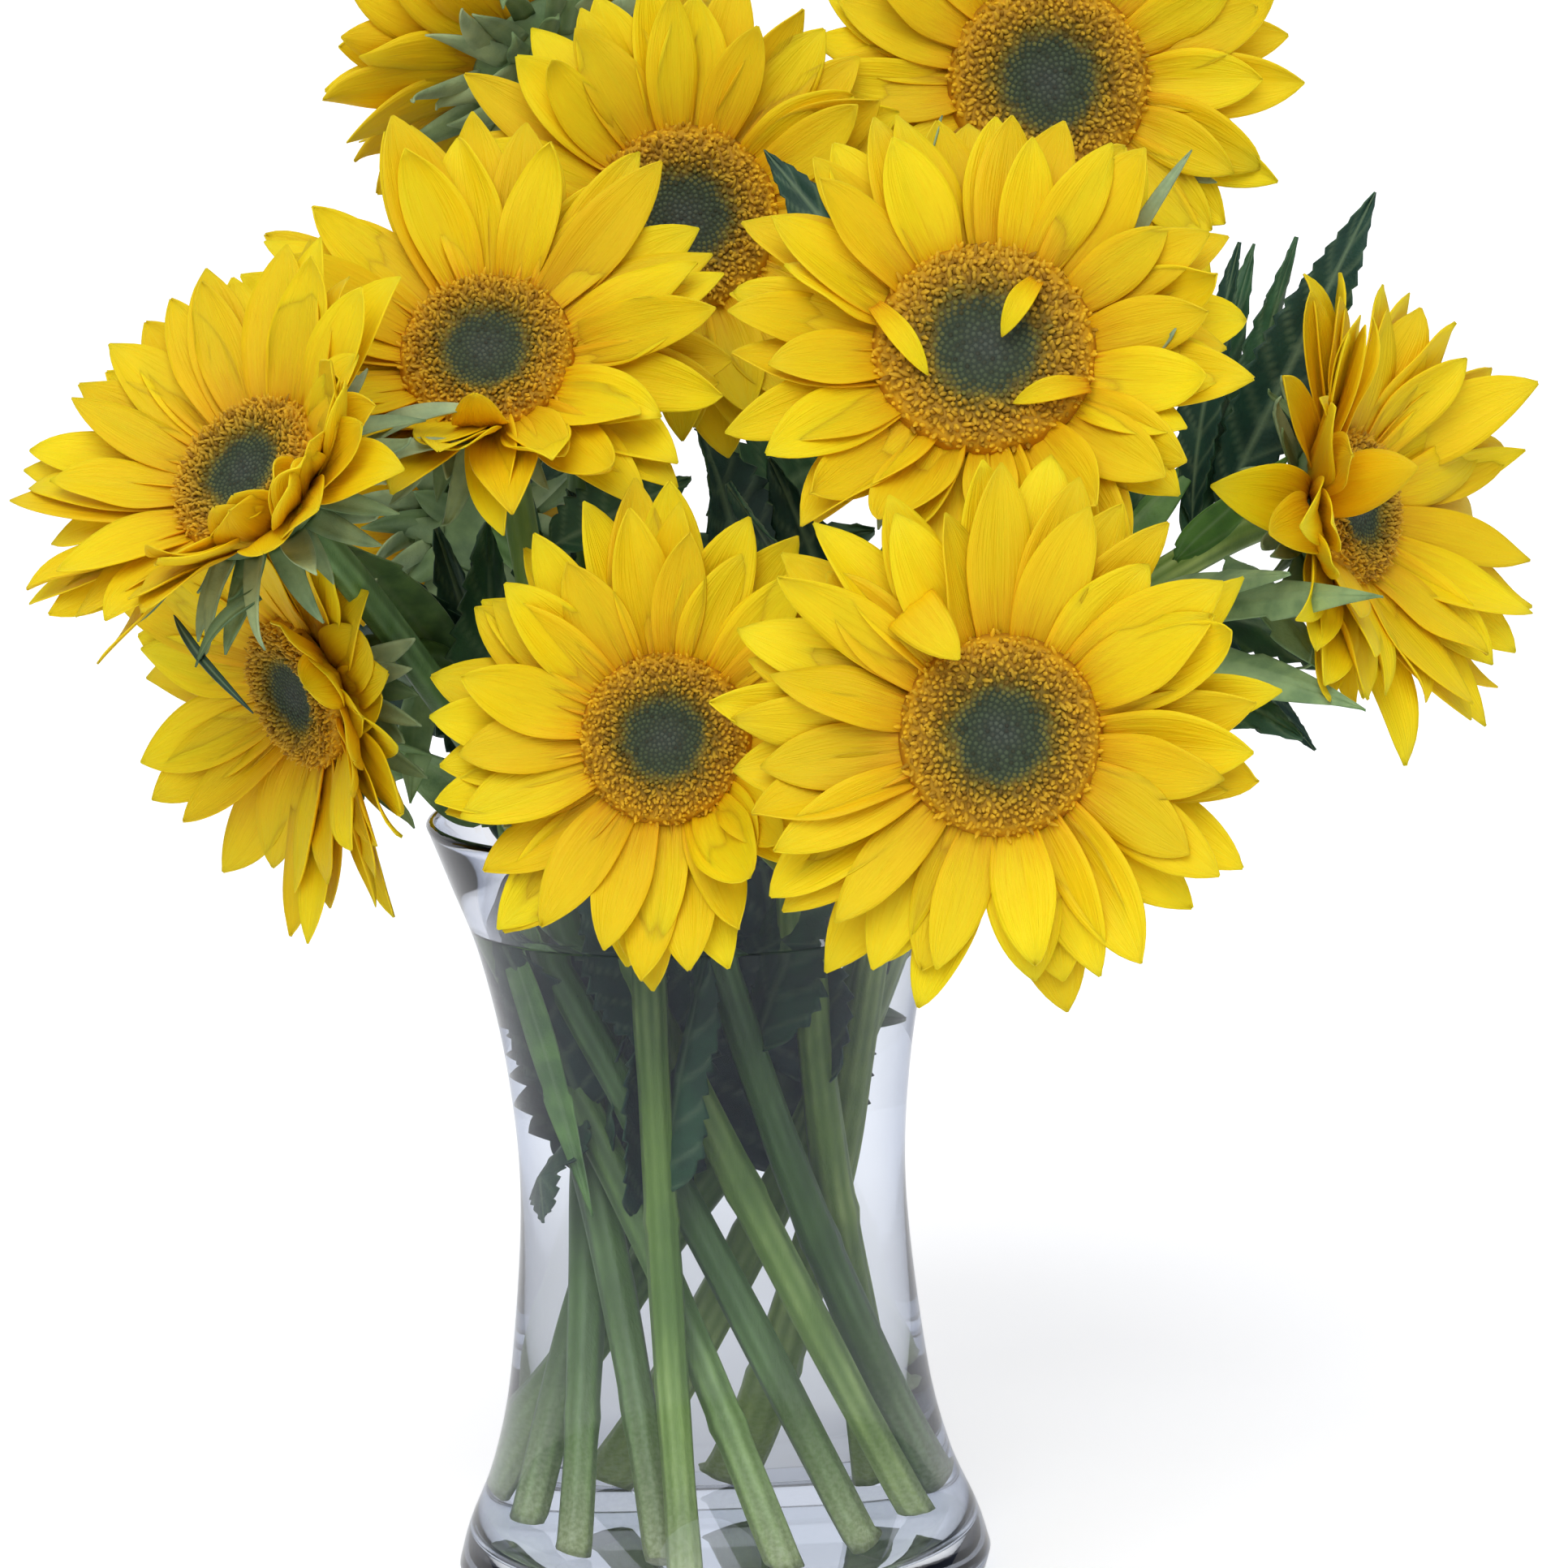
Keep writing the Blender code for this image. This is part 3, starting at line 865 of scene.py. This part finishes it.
def make_disc(head):
    """A turned cushion with its florets: each a small horn with a curled tip."""
    points, values = florets(head, np.random.default_rng(300 + int(head["name"])))
    each = len(LEVEL) * FLORET_SIDES
    ring = np.arange(FLORET_SIDES)[None]
    parts = (grid_faces(len(LEVEL), FLORET_SIDES, wrap=True), ring[:, ::-1],
             ring + each - FLORET_SIDES)
    faces = [copies(part, FLORETS, each) for part in parts]
    sides, at = 48, np.linspace(0.02, 1, 12)[::-1]
    cushion = turned_on_head(
        head, head["radius"] * np.array([0.7, *at]),
        np.array([DISC_BACK, *cushion_height(at)]), [DISC_BACK, cushion_height(0)], sides)
    plain = {
        "out": np.array([*np.repeat([1.0, *at], sides), 1, 0]),
        "high": np.zeros(len(cushion)),
        "tint": np.full(len(cushion), 0.3),
    }
    values = {key: np.concatenate([values[key], plain[key]]) for key in plain}
    faces += ring_faces(len(at) + 1, sides, FLORETS * each)
    make_piece(f"disc_florets_{head['name']}", np.vstack([points.reshape(-1, 3), cushion]),
               faces, DISC, "disc", [f"disc_{head['name']}"], **values)


for head in heads.values():
    make_disc(head)


# %% [markdown]
# ## The green cup behind a flower
#
# Behind the petals a sunflower has a shallow green cup, clad in overlapping pointed
# bracts. The cup is a profile turned about the flower's axis, and the bracts are blades
# again, wide at the root and drawn out to a thread.

# %% Cup and bracts
CUP = ((5.0, -16.5), (5.6, -14.0), (8.5, -11.0))  # neck, in millimetres: radius and height
CUP_SHARES = ((0.62, -7.5), (0.86, -4.5), (0.98, -1.5), (0.95, 0.6), (0.6, 1.6))


def make_cup(head):
    """Turned cup and three rows of bracts, as one mesh."""
    rng = np.random.default_rng(500 + int(head["name"]))
    radius, name, sides = head["radius"], head["name"], 40
    profile = [(r * MM, w) for r, w in CUP] + [(r * radius, w) for r, w in CUP_SHARES]
    out, high = np.array(profile).T * [[1], [MM]]
    cup = turned_on_head(head, out, high, high[[0, -1]], sides)
    each = 12
    count = 3 * each
    row = np.repeat([0, 1, 2], each)
    turn = (np.tile(np.arange(each), 3) + row * 0.37) * 2 * math.pi / each
    numbers = {
        "turn": turn + rng.normal(0, 0.05, count),
        "start": radius * np.array([0.62, 0.78, 0.92])[row],
        "height": np.array([-7.6, -5.6, -2.8])[row] * MM,
        "length": np.array([17, 22, 24])[row] * MM * rng.uniform(0.75, 1.2, count),
        "half": np.array([4.6, 4.8, 4.4])[row] * MM * rng.uniform(0.8, 1.15, count),
        "lift": np.array([-0.05, 0.05, 0.05])[row] + rng.normal(0, 0.18, count),
        "bend": rng.normal(-0.25, 0.4, count),
        "curl": rng.normal(0.2, 0.8, count),
        "fold": 0.0,
        "sway": rng.normal(0, 0.16, count),
        "roll": rng.normal(0, 0.15, count),
        "twist": rng.normal(0, 0.4, count),
        "channel": rng.uniform(0.1, 0.5, count),
        "ripple": 0.0,
        "phase": 0.0,
    }
    grids = blades(head, numbers, bract_width, 13, 5)
    leafy, faces, values = blade_bodies(grids, 0.6 * MM, rng.uniform(0, 1, count), len(cup))
    tone = np.concatenate([np.full(len(cup), 0.45), 0.42 + 0.5 * values["tint"]])
    vein = np.concatenate([np.zeros(len(cup)), midrib(values)])
    faces = [*ring_faces(len(out), sides), faces]
    make_piece(f"bracts_{name}", np.vstack([cup, leafy]), faces, BRACT, "calyx",
               [f"calyx_{name}"], tone=tone, vein=vein)


for head in heads.values():
    make_cup(head)

# %% Long bracts that reach past a flower
# By flower: turn, distance out and height of each end, arch, half width and tone.
LONG_BRACTS = {
    "03": ((((-133, 42, 18), (-86, 24, 22), 5), 3.6, 1.0),
           (((-129, 48, 16), (-92, 33, 21), 4), 3.4, 1.0)),
    "07": ((((114, 42, 1), (98, 60, 6), 2), 2.0, 0.7),
           (((36, 44, 4), (43, 70, 8), 2), 2.2, 0.8)),
    "01": ((((-67, 31, -3), (-90, 48, -4), 3), 3.0, 0.25),
           (((-88, 46, -4), (-104, 38, 0), 1), 1.5, 0.05),
           (((-88, 46, -4), (-69, 62, -6), 2), 1.3, 0.0)),
}


def make_long_bracts(head, specs):
    """Bracts laid over or beside a flower, as one mesh."""
    grids = np.stack([arched_blade(head, route, bract_width, half, 15, 5)
                      for route, half, _ in specs])
    points, faces, values = blade_bodies(grids, 0.5 * MM, [tone for *_, tone in specs])
    make_piece(f"long_bracts_{head['name']}", points, [faces], BRACT, "calyx",
               tone=values["tint"], vein=midrib(values))


for name, specs in LONG_BRACTS.items():
    make_long_bracts(heads[name], specs)


# %% [markdown]
# ## Vase and water
#
# The vase is a profile turned about its axis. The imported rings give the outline; a smooth
# curve through them gives the glass its flowing waist. The water is turned from the inside
# of that profile and dips a hair into the glass, so no film of air is left between them,
# and its edge climbs the wall a little, as water does.

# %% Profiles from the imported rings
def smooth_through(points, count):
    """A smooth curve through points: each stretch is a cubic with shared slopes."""
    points = np.asarray(points, float)
    slope = np.gradient(points, axis=0)
    at = np.linspace(0, len(points) - 1, count)
    i = np.clip(at.astype(int), 0, len(points) - 2)
    u = (at - i)[:, None]
    return ((2 * u**3 - 3 * u**2 + 1) * points[i] + (u**3 - 2 * u**2 + u) * slope[i]
            + (3 * u**2 - 2 * u**3) * points[i + 1] + (u**3 - u**2) * slope[i + 1])


SAME_LEVEL = 6.2 * MM  # rings this close in height are compared


def vase_profiles():
    """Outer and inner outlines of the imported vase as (radius, height), bottom to top.

    Of the rings near one height, the widest is the outside. So is the underside's.
    """
    spots = corners("vase")
    rings = np.unique(np.round(np.column_stack(
        [np.hypot(spots[:, 0], spots[:, 1]), spots[:, 2]]), 5), axis=0)
    outer, inner = [], []
    for radius, height in rings[np.argsort(rings[:, 1])]:
        near = rings[np.abs(rings[:, 1] - height) < SAME_LEVEL]
        is_outer = radius > near[:, 0].max() - 0.1 * MM or height < MM
        (outer if is_outer else inner).append((radius, height))
    return np.array(outer), np.array([p for p in inner if p[1] < outer[-1][1]])


def turned(name, profile, finish, slot, instead_of, sides=144):
    """A profile turned about the vertical axis, closed by a point at each end."""
    radius, height = profile.T
    angle = round_turns(sides)
    rings = np.stack([np.outer(radius, np.cos(angle)), np.outer(radius, np.sin(angle)),
                      np.outer(height, np.ones(sides))], axis=-1)
    points = np.vstack([rings.reshape(-1, 3), [0, 0, height[0]], [0, 0, height[-1]]])
    make_piece(name, points, ring_faces(len(profile), sides), finish, slot, instead_of)


outer, inner = vase_profiles()
outer_curve = smooth_through(outer[2:], 70)
inner_curve = smooth_through(inner, 60)
base, (lip, lip_top) = outer[0][0], outer[-1]
foot = np.array([[base * 0.5, 0.8 * MM], [base * 0.9, 0.8 * MM], [base, 0.0],
                 [base + 3 * MM, 0.0], [outer[1][0] - 1.2 * MM, 0.9 * MM],
                 [outer[1][0] + 0.6 * MM, 3.0 * MM]])
rim = np.array([[lip - 0.6 * MM, lip_top + 0.9 * MM], [lip - 1.7 * MM, lip_top + 1.1 * MM],
                [inner[-1][0] + 0.3 * MM, inner[-1][1] + 1.4 * MM]])
floor_radius, floor_high = inner[0]
floor_curve = np.array([[floor_radius * f, floor_high + 0.4 * MM * (1 - f) ** 2]
                        for f in (0.96, 0.75, 0.4)])
profile = np.vstack([foot, outer_curve, rim, inner_curve[::-1], floor_curve])
turned("glass_vase", profile, GLASS, "glass", ["vase"])
print("wall", round((outer[4][0] - inner[2][0]) / MM, 1), "mm")

# %% Water with its edge drawn up the glass
OVERLAP = 0.35 * MM  # how far the water dips into the glass
CLIMB = 1.2 * MM  # and how far it climbs the wall
water_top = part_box("water")[1][2]
wet = inner_curve[inner_curve[:, 1] < water_top + CLIMB] + [OVERLAP, 0]
meniscus = np.array([[wet[-1][0] - d * MM, water_top + CLIMB * math.exp(-d / 1.3)]
                     for d in (0.0, 0.7, 1.5, 2.6, 4.0, 6.0, 9.0, 20.0, 40.0)])
bed = np.array([[floor_radius * f, floor_high - OVERLAP] for f in (0.4, 0.75, 0.97)])
turned("water_body", np.vstack([bed, wet, meniscus]), WATER, "water", ["water"])


# %% [markdown]
# ## Stems
#
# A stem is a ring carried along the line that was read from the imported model. Its outline
# is not round: fine ribs run along it, so the ring's radius rises and falls as a cosine of
# the angle. The foot was cut with a knife on the slant, and the pale pith shows there.

# %% Carry a ribbed ring along each stem
STEM_RADIUS = 4.3 * MM


def carried_frames(line):
    """Two directions square to a line at each point, turned as little as possible."""
    way = unit(np.gradient(line, axis=0))
    side = np.cross(way[0], [0, 1.0, 0])
    sides = []
    for w in way:
        side = unit(side - w * (side @ w))
        sides.append(side)
    return np.array(sides), np.cross(way, sides)


def make_stem(name):
    """Ribbed tube: radius = mean * (1 + small cosine of the angle) * slow swelling."""
    rng = np.random.default_rng(700 + int(name))
    line = even_line(stems[name], 72)
    side, other = carried_frames(line)
    rows, sides = len(line), 44
    angle = round_turns(sides)
    s = np.linspace(0, 1, rows)
    # wider under the flower and at the foot, wavy between, with one joint
    swell = 1 + 0.18 * np.exp(-(1 - s) * 22) + 0.07 * np.exp(-s * 14)
    swell += 0.03 * np.sin(s * 17 + rng.uniform(0, 6)) + 0.015 * np.sin(s * 43)
    swell += 0.13 * np.exp(-(((s - rng.uniform(0.08, 0.4)) / 0.009) ** 2))
    ribs = rng.integers(7, 11)
    rib = 0.5 + 0.5 * np.cos(ribs * angle[None] + 1.5 * s[:, None] + rng.uniform(0, 6))
    radius = STEM_RADIUS * 0.97 * swell[:, None] * (0.95 + 0.06 * rib)
    ring = np.cos(angle)[:, None] * side[:, None] + np.sin(angle)[:, None] * other[:, None]
    tube = line[:, None] + radius[..., None] * ring
    slant = rng.uniform(0.25, 0.5)
    high = (np.cos(angle + rng.uniform(0, 6)) + 1) * STEM_RADIUS * slant
    tube[0, :, 2] += high
    tube[1, :, 2] += np.maximum(high - 3.5 * MM, 0)  # keeps the second ring above it
    middle = tube[0].mean(axis=0)
    pith = middle + (tube[0] - middle) * 0.82
    points = np.vstack([pith, tube.reshape(-1, 3), middle + [0, 0, 0.4 * MM], line[-1]])
    faded = np.repeat(0.6 * np.exp(-s * 11), sides)
    cut = np.concatenate([np.ones(sides), faded, [1, 0]])
    shown = np.concatenate([np.ones(sides), rib.ravel(), [1, 0.5]])
    make_piece(f"stalk_{name}", points, ring_faces(rows + 1, sides), STEM, "stem",
               [f"stem_{name}"], rib=shown, cut=cut,
               tint=np.full(len(points), rng.uniform(0, 1)))


for name in HEADS:
    make_stem(name)


# %% [markdown]
# ## Leaves
#
# A sunflower leaf is a broad toothed blade folded a little along its midrib, with side
# veins that run forward to the teeth. Half its width comes from a smooth bow; the teeth
# are a saw-tooth added near the margin only, and the veins are shallow valleys.

# %% Toothed blades on a midrib
def leaf_half_width(s):
    """Bow of a leaf: a short stalk, then full at a third of its length, then a point."""
    return np.clip(np.sin(math.pi * np.clip((s - 0.02) / 0.98, 0, 1) ** 0.72), 0, 1) ** 0.85


def leaf_blade(line, side, half, teeth, seed, rows=57, columns=15):
    """Grid of a leaf on its midrib, and how strongly each point shows a vein.

    Across = width * (1 - the teeth's notch, with the cube of the distance from the
    midrib). Height = fold * distance across + a wave - the veins + the rib.
    """
    rng = np.random.default_rng(seed)
    line = even_line(line, rows)
    way = unit(np.gradient(line, axis=0))
    side = unit(side - way * (way @ side)[:, None])
    up = np.cross(side, way)
    s = np.linspace(0, 1, rows)[:, None]
    t = np.linspace(-1, 1, columns)[None]
    edge = np.abs(t)
    saw = (s * teeth - 0.25 * edge) % 1
    width = np.maximum(half * leaf_half_width(s), (0.15 + 0.8 * (1 - s)) * MM)
    notch = 1 - 0.24 * saw * edge**3 * (s > 0.1)
    offset = width * t * notch
    veins = np.exp(-(((s * teeth / 2 - edge * 1.1) % 1 - 0.5) / 0.10) ** 2) * (edge > 0.05)
    rib = np.exp(-((edge / 0.07) ** 2))
    wave = 0.10 * half * edge**2 * np.sin(s * 11 + rng.uniform(0, 6) + t)
    height = 0.35 * width * edge * notch + wave - 0.035 * half * veins + 0.06 * half * rib
    grid = line[:, None] + offset[..., None] * side[:, None]
    return grid + height[..., None] * up[:, None], np.maximum(veins * 0.6, rib)


WALL_GAP = 1.2 * MM  # between a leaf and the glass


def kept_in_glass(grid):
    """Points lower than the rim that would pass the inner wall are drawn back to it."""
    wall = np.interp(grid[..., 2], inner_curve[:, 1], inner_curve[:, 0]) - WALL_GAP
    out = np.hypot(grid[..., 0], grid[..., 1])
    below = grid[..., 2] < inner[-1][1]
    share = np.where(below & (out > wall), wall / np.maximum(out, MM), 1.0)
    return grid * np.stack([share, share, np.ones_like(share)], axis=-1)


def make_leaf(name, line, side, half, teeth, tone, instead_of=()):
    """One leaf with its own tone of green, from its midrib, side and half width."""
    grid, vein = leaf_blade(line, side, half, teeth, 900 + sum(name.encode()))
    if line[0][2] < inner[-1][1]:
        grid = kept_in_glass(grid)
    rows, columns = vein.shape
    points = thicken(grid, 0.45 * MM)
    lower = np.full(rows * columns, min(tone + 0.25, 1.0))
    tones = np.concatenate([np.full(rows * columns, tone), lower])
    make_piece(name, points, [sheet_faces(rows, columns)], LEAF, "leaf", instead_of,
               tone=tones, vein=np.tile(vein.ravel(), 2))


# Teeth along a margin, and tone from dark (0) to pale (1), of each packed leaf
LEAF_LOOKS = {
    "01": (16, 0.15), "02": (13, 0.12), "03": (18, 0.10), "04": (16, 0.10),
    "05": (2, 0.62), "06": (2, 0.75), "07": (14, 0.05), "08": (2, 0.72),
    "09": (14, 0.30), "10": (2, 0.80),
}
for name in LEAVES:
    line, side, half = leaf_course(f"leaf_{name}")
    teeth, tone = LEAF_LOOKS[name]
    make_leaf(f"foliage_{name}", line, side, half, teeth, tone, [f"leaf_{name}"])


# %% [markdown]
# ## More foliage
#
# A bunch is never only flowers. Smaller leaves fill the gaps between the stems, and some
# are pushed down into the vase with them. Each springs from a stem: its midrib starts at
# a share of the stem's length, heads off at a turn and a rise, and droops on its way. A
# leaf in the vase that meets the wall lies flat against the glass.

# %% Leaves that spring from a stem
MIDRIB_POINTS = 24


def spring_leaf(name, stem, share, turn, rise, length, half, droop, roll, teeth, tone):
    """Midrib = start + the summed steps at a rise that falls by the droop along it."""
    start = even_line(stems[stem], 101)[int(round(share * 100))]
    rises = np.radians(rise - droop * np.linspace(0, 1, MIDRIB_POINTS))[:, None]
    turn, roll = math.radians(turn), math.radians(roll)
    flat = np.array([math.sin(turn), -math.cos(turn), 0])
    steps = flat * np.cos(rises) + np.array([0, 0, 1.0]) * np.sin(rises)
    steps = steps * length * MM / (MIDRIB_POINTS - 1)
    line = start + np.cumsum(steps, axis=0) - steps[0]
    level = np.array([math.cos(turn), math.sin(turn), 0])
    side = level * math.cos(roll) + np.cross(unit(steps[0]), level) * math.sin(roll)
    make_leaf(name, line, side, half * MM, teeth, tone)


# By group: stem, share along it, turn, rise, length, half width, droop, roll, teeth, tone.
SPRUNG = {
    "mid_leaf": (
        ("03", .72, -166, 72, 75, 15, 20, 60, 12, .08),
        ("05", .60, 53, 80, 66, 15, 20, 50, 12, .12),
        ("01", .66, -176, 85, 68, 13, 15, 40, 11, .10),
        ("12", .70, -43, 76, 82, 16, 20, 70, 13, .06),
        ("04", .66, -26, 76, 68, 17, 20, 80, 13, .08),
        ("11", .66, -87, 80, 84, 16, 15, 60, 13, .10),
        ("07", .72, -113, 72, 58, 13, 20, 50, 11, .10),
        ("07", .80, 98, 50, 34, 8, 10, 80, 2, .65),
    ),
    "right_leaf": (
        ("10", .86, 145, 70, 96, 7, 15, 80, 12, .05),
        ("10", .92, 139, 75, 84, 7, 12, 60, 12, .05),
        ("10", .95, 127, 76, 80, 7, 10, 90, 12, .10),
        ("10", .80, 77, -5, 68, 12, 30, 60, 11, .05),
        ("10", .86, 107, -5, 80, 11, 30, 40, 11, .05),
        ("10", .78, 106, 57, 72, 8, 20, 30, 2, .55),
        ("10", .84, 36, 20, 76, 6, 14, 50, 2, .95),
        ("10", .84, 46, 12, 92, 7, 10, 55, 2, .90),
        ("10", .80, 56, 4, 90, 8, 22, 50, 2, .72),
    ),
    "left_leaf": (
        ("02", .86, -24, 44, 80, 9, 20, 40, 2, .85),
        ("02", .74, -40, 70, 72, 12, 20, 60, 11, .10),
        ("02", .66, -88, 84, 92, 13, 12, 60, 12, .12),
        ("02", .70, -38, 40, 66, 10, 22, 30, 2, .90),
    ),
    "back_leaf": (
        ("05", .55, 170, 50, 85, 20, 40, 80, 14, .12),
        ("12", .80, 100, 45, 80, 19, 40, 60, 14, .15),
        ("11", .75, -150, 50, 80, 19, 40, 70, 14, .10),
        ("11", .80, 100, 40, 75, 18, 50, 60, 13, .20),
        ("04", .72, 160, 40, 80, 20, 50, 80, 14, .12),
        ("06", .70, 130, 35, 80, 18, 40, 70, 13, .15),
        ("02", .80, -130, 30, 75, 18, 40, 70, 13, .12),
        ("05", .75, -120, 35, 75, 18, 50, 60, 13, .18),
    ),
    "neck_leaf": (
        ("02", .44, -60, 72, 60, 14, 20, 40, 11, .10),
        ("08", .42, 40, 80, 75, 15, 15, 70, 12, .05),
        ("03", .45, -60, 70, 60, 14, 15, 60, 12, .15),
        ("09", .45, 70, 75, 62, 15, 15, 60, 12, .05),
        ("06", .38, 30, 75, 70, 14, 12, 70, 11, .08),
        ("11", .40, -120, 78, 70, 15, 12, 60, 11, .05),
        ("05", .38, 140, 75, 65, 15, 12, 80, 11, .08),
        ("04", .40, 60, 75, 66, 15, 12, 50, 11, .05),
        ("12", .45, -100, 75, 60, 14, 12, 50, 11, .06),
        ("05", .27, 60, 82, 92, 19, 12, 10, 13, .03),
        ("04", .27, -20, 84, 95, 20, 12, 5, 13, .05),
        ("06", .25, 10, 84, 90, 18, 12, -10, 13, .03),
        ("11", .30, 20, 84, 85, 19, 12, 5, 13, .04),
        ("07", .38, -30, 80, 75, 15, 12, 15, 12, .08),
        ("02", .33, 30, 82, 80, 16, 12, 10, 12, .12),
    ),
    "sunk_leaf": (
        ("02", .44, -60, -50, 50, 12, -30, 30, 10, .02),
        ("04", .45, 60, -40, 40, 9, -30, 30, 2, .30),
    ),
}
for group, specs in SPRUNG.items():
    for number, spec in enumerate(specs, 1):
        spring_leaf(f"{group}_{number}", *spec)


# %% [markdown]
# ## Floor, light and camera
#
# A plain pale floor, a bright surround and one broad soft sun from above the camera keep
# the yellow clean and still show the shape of each petal. The sun isn't seen through the
# glass, where it would be one white patch.

# %% Floor
def make_floor():
    """A wide flat square that looks a little brighter to the camera than it is lit."""
    mesh = bpy.data.meshes.new("studio_floor")
    far = 30.0
    mesh.from_pydata([(-far, -far, 0), (far, -far, 0), (far, far, 0), (-far, far, 0)], [],
                     [(0, 1, 2, 3)])
    finish, web, shader = new_finish("studio floor", 0.9)
    seen = node(web, "LightPath").outputs["Is Camera Ray"]
    fill(web, shader, {
        "Base Color": patches(web, 3.0, (0.93, 0.93, 0.935), (0.95, 0.95, 0.955)),
        "Emission Strength": product(web, seen, 0.24),
    })
    mesh.materials.append(finish)
    floor = bpy.data.objects.new("studio_floor", mesh)
    bpy.context.scene.collection.objects.link(floor)


make_floor()


# %% Light
def sun(name, towards, soft, power):
    """A far soft lamp that shines from a direction, with the same strength everywhere."""
    light = bpy.data.lights.new(name, "SUN")
    light.angle = math.radians(soft)
    light.energy = power
    holder = bpy.data.objects.new(name, light)
    away = unit(np.array(towards, float))
    side = unit(np.cross([0, 0, 1.0], away))
    turn = np.eye(4)
    turn[:3, :3] = np.column_stack([side, np.cross(away, side), away])
    holder.matrix_world = Matrix(turn.tolist())
    holder.visible_transmission = False
    bpy.context.scene.collection.objects.link(holder)


sun("daylight", (-0.10, -0.74, 0.66), 45, 1.9)


def make_surround():
    """A white room, darker behind the camera and slate blue at its two sides."""
    world = bpy.data.worlds.new("surround")
    bpy.context.scene.world = world
    world.use_nodes = True
    web = world.node_tree
    way = node(web, "TexCoord").outputs["Generated"]
    parts = node(web, "SeparateXYZ", {0: way}).outputs
    depth = total(web, product(web, parts["Y"], 0.5), 0.5)
    room = ramp(web, depth, ((0.0, (0.38, 0.39, 0.41)), (0.4, (0.58, 0.59, 0.61)),
                             (0.7, (0.86, 0.86, 0.87)), (1.0, (0.92, 0.92, 0.92))))
    side = node(web, "Math", {0: parts["X"]}, operation="ABSOLUTE").outputs[0]
    flags = ramp(web, side, ((0.70, (1, 1, 1)), (0.88, (0.26, 0.31, 0.44))))
    fill(web, web.nodes["Background"], {"Color": tinted(web, room, flags), "Strength": 1.0})


make_surround()
bpy.context.scene.view_settings.view_transform = "Standard"

# %% Camera
CAMERA_AT = (0.0218, -1.5, 0.455)
LOOKS_DOWN, LEANS = math.radians(9.2), math.radians(1.8)
level = np.array([1.0, 0, 0])
over = np.array([0, math.sin(LOOKS_DOWN), math.cos(LOOKS_DOWN)])
right = level * math.cos(LEANS) - over * math.sin(LEANS)
top = over * math.cos(LEANS) + level * math.sin(LEANS)
pose = np.eye(4)
pose[:3, :3] = np.column_stack([right, top, np.cross(right, top)])
pose[:3, 3] = CAMERA_AT
camera = bpy.data.objects.new("camera", bpy.data.cameras.new("camera"))
camera.data.lens, camera.data.sensor_width = 135, 36  # millimetres
camera.matrix_world = Matrix(pose.tolist())
bpy.context.scene.collection.objects.link(camera)
bpy.context.scene.camera = camera
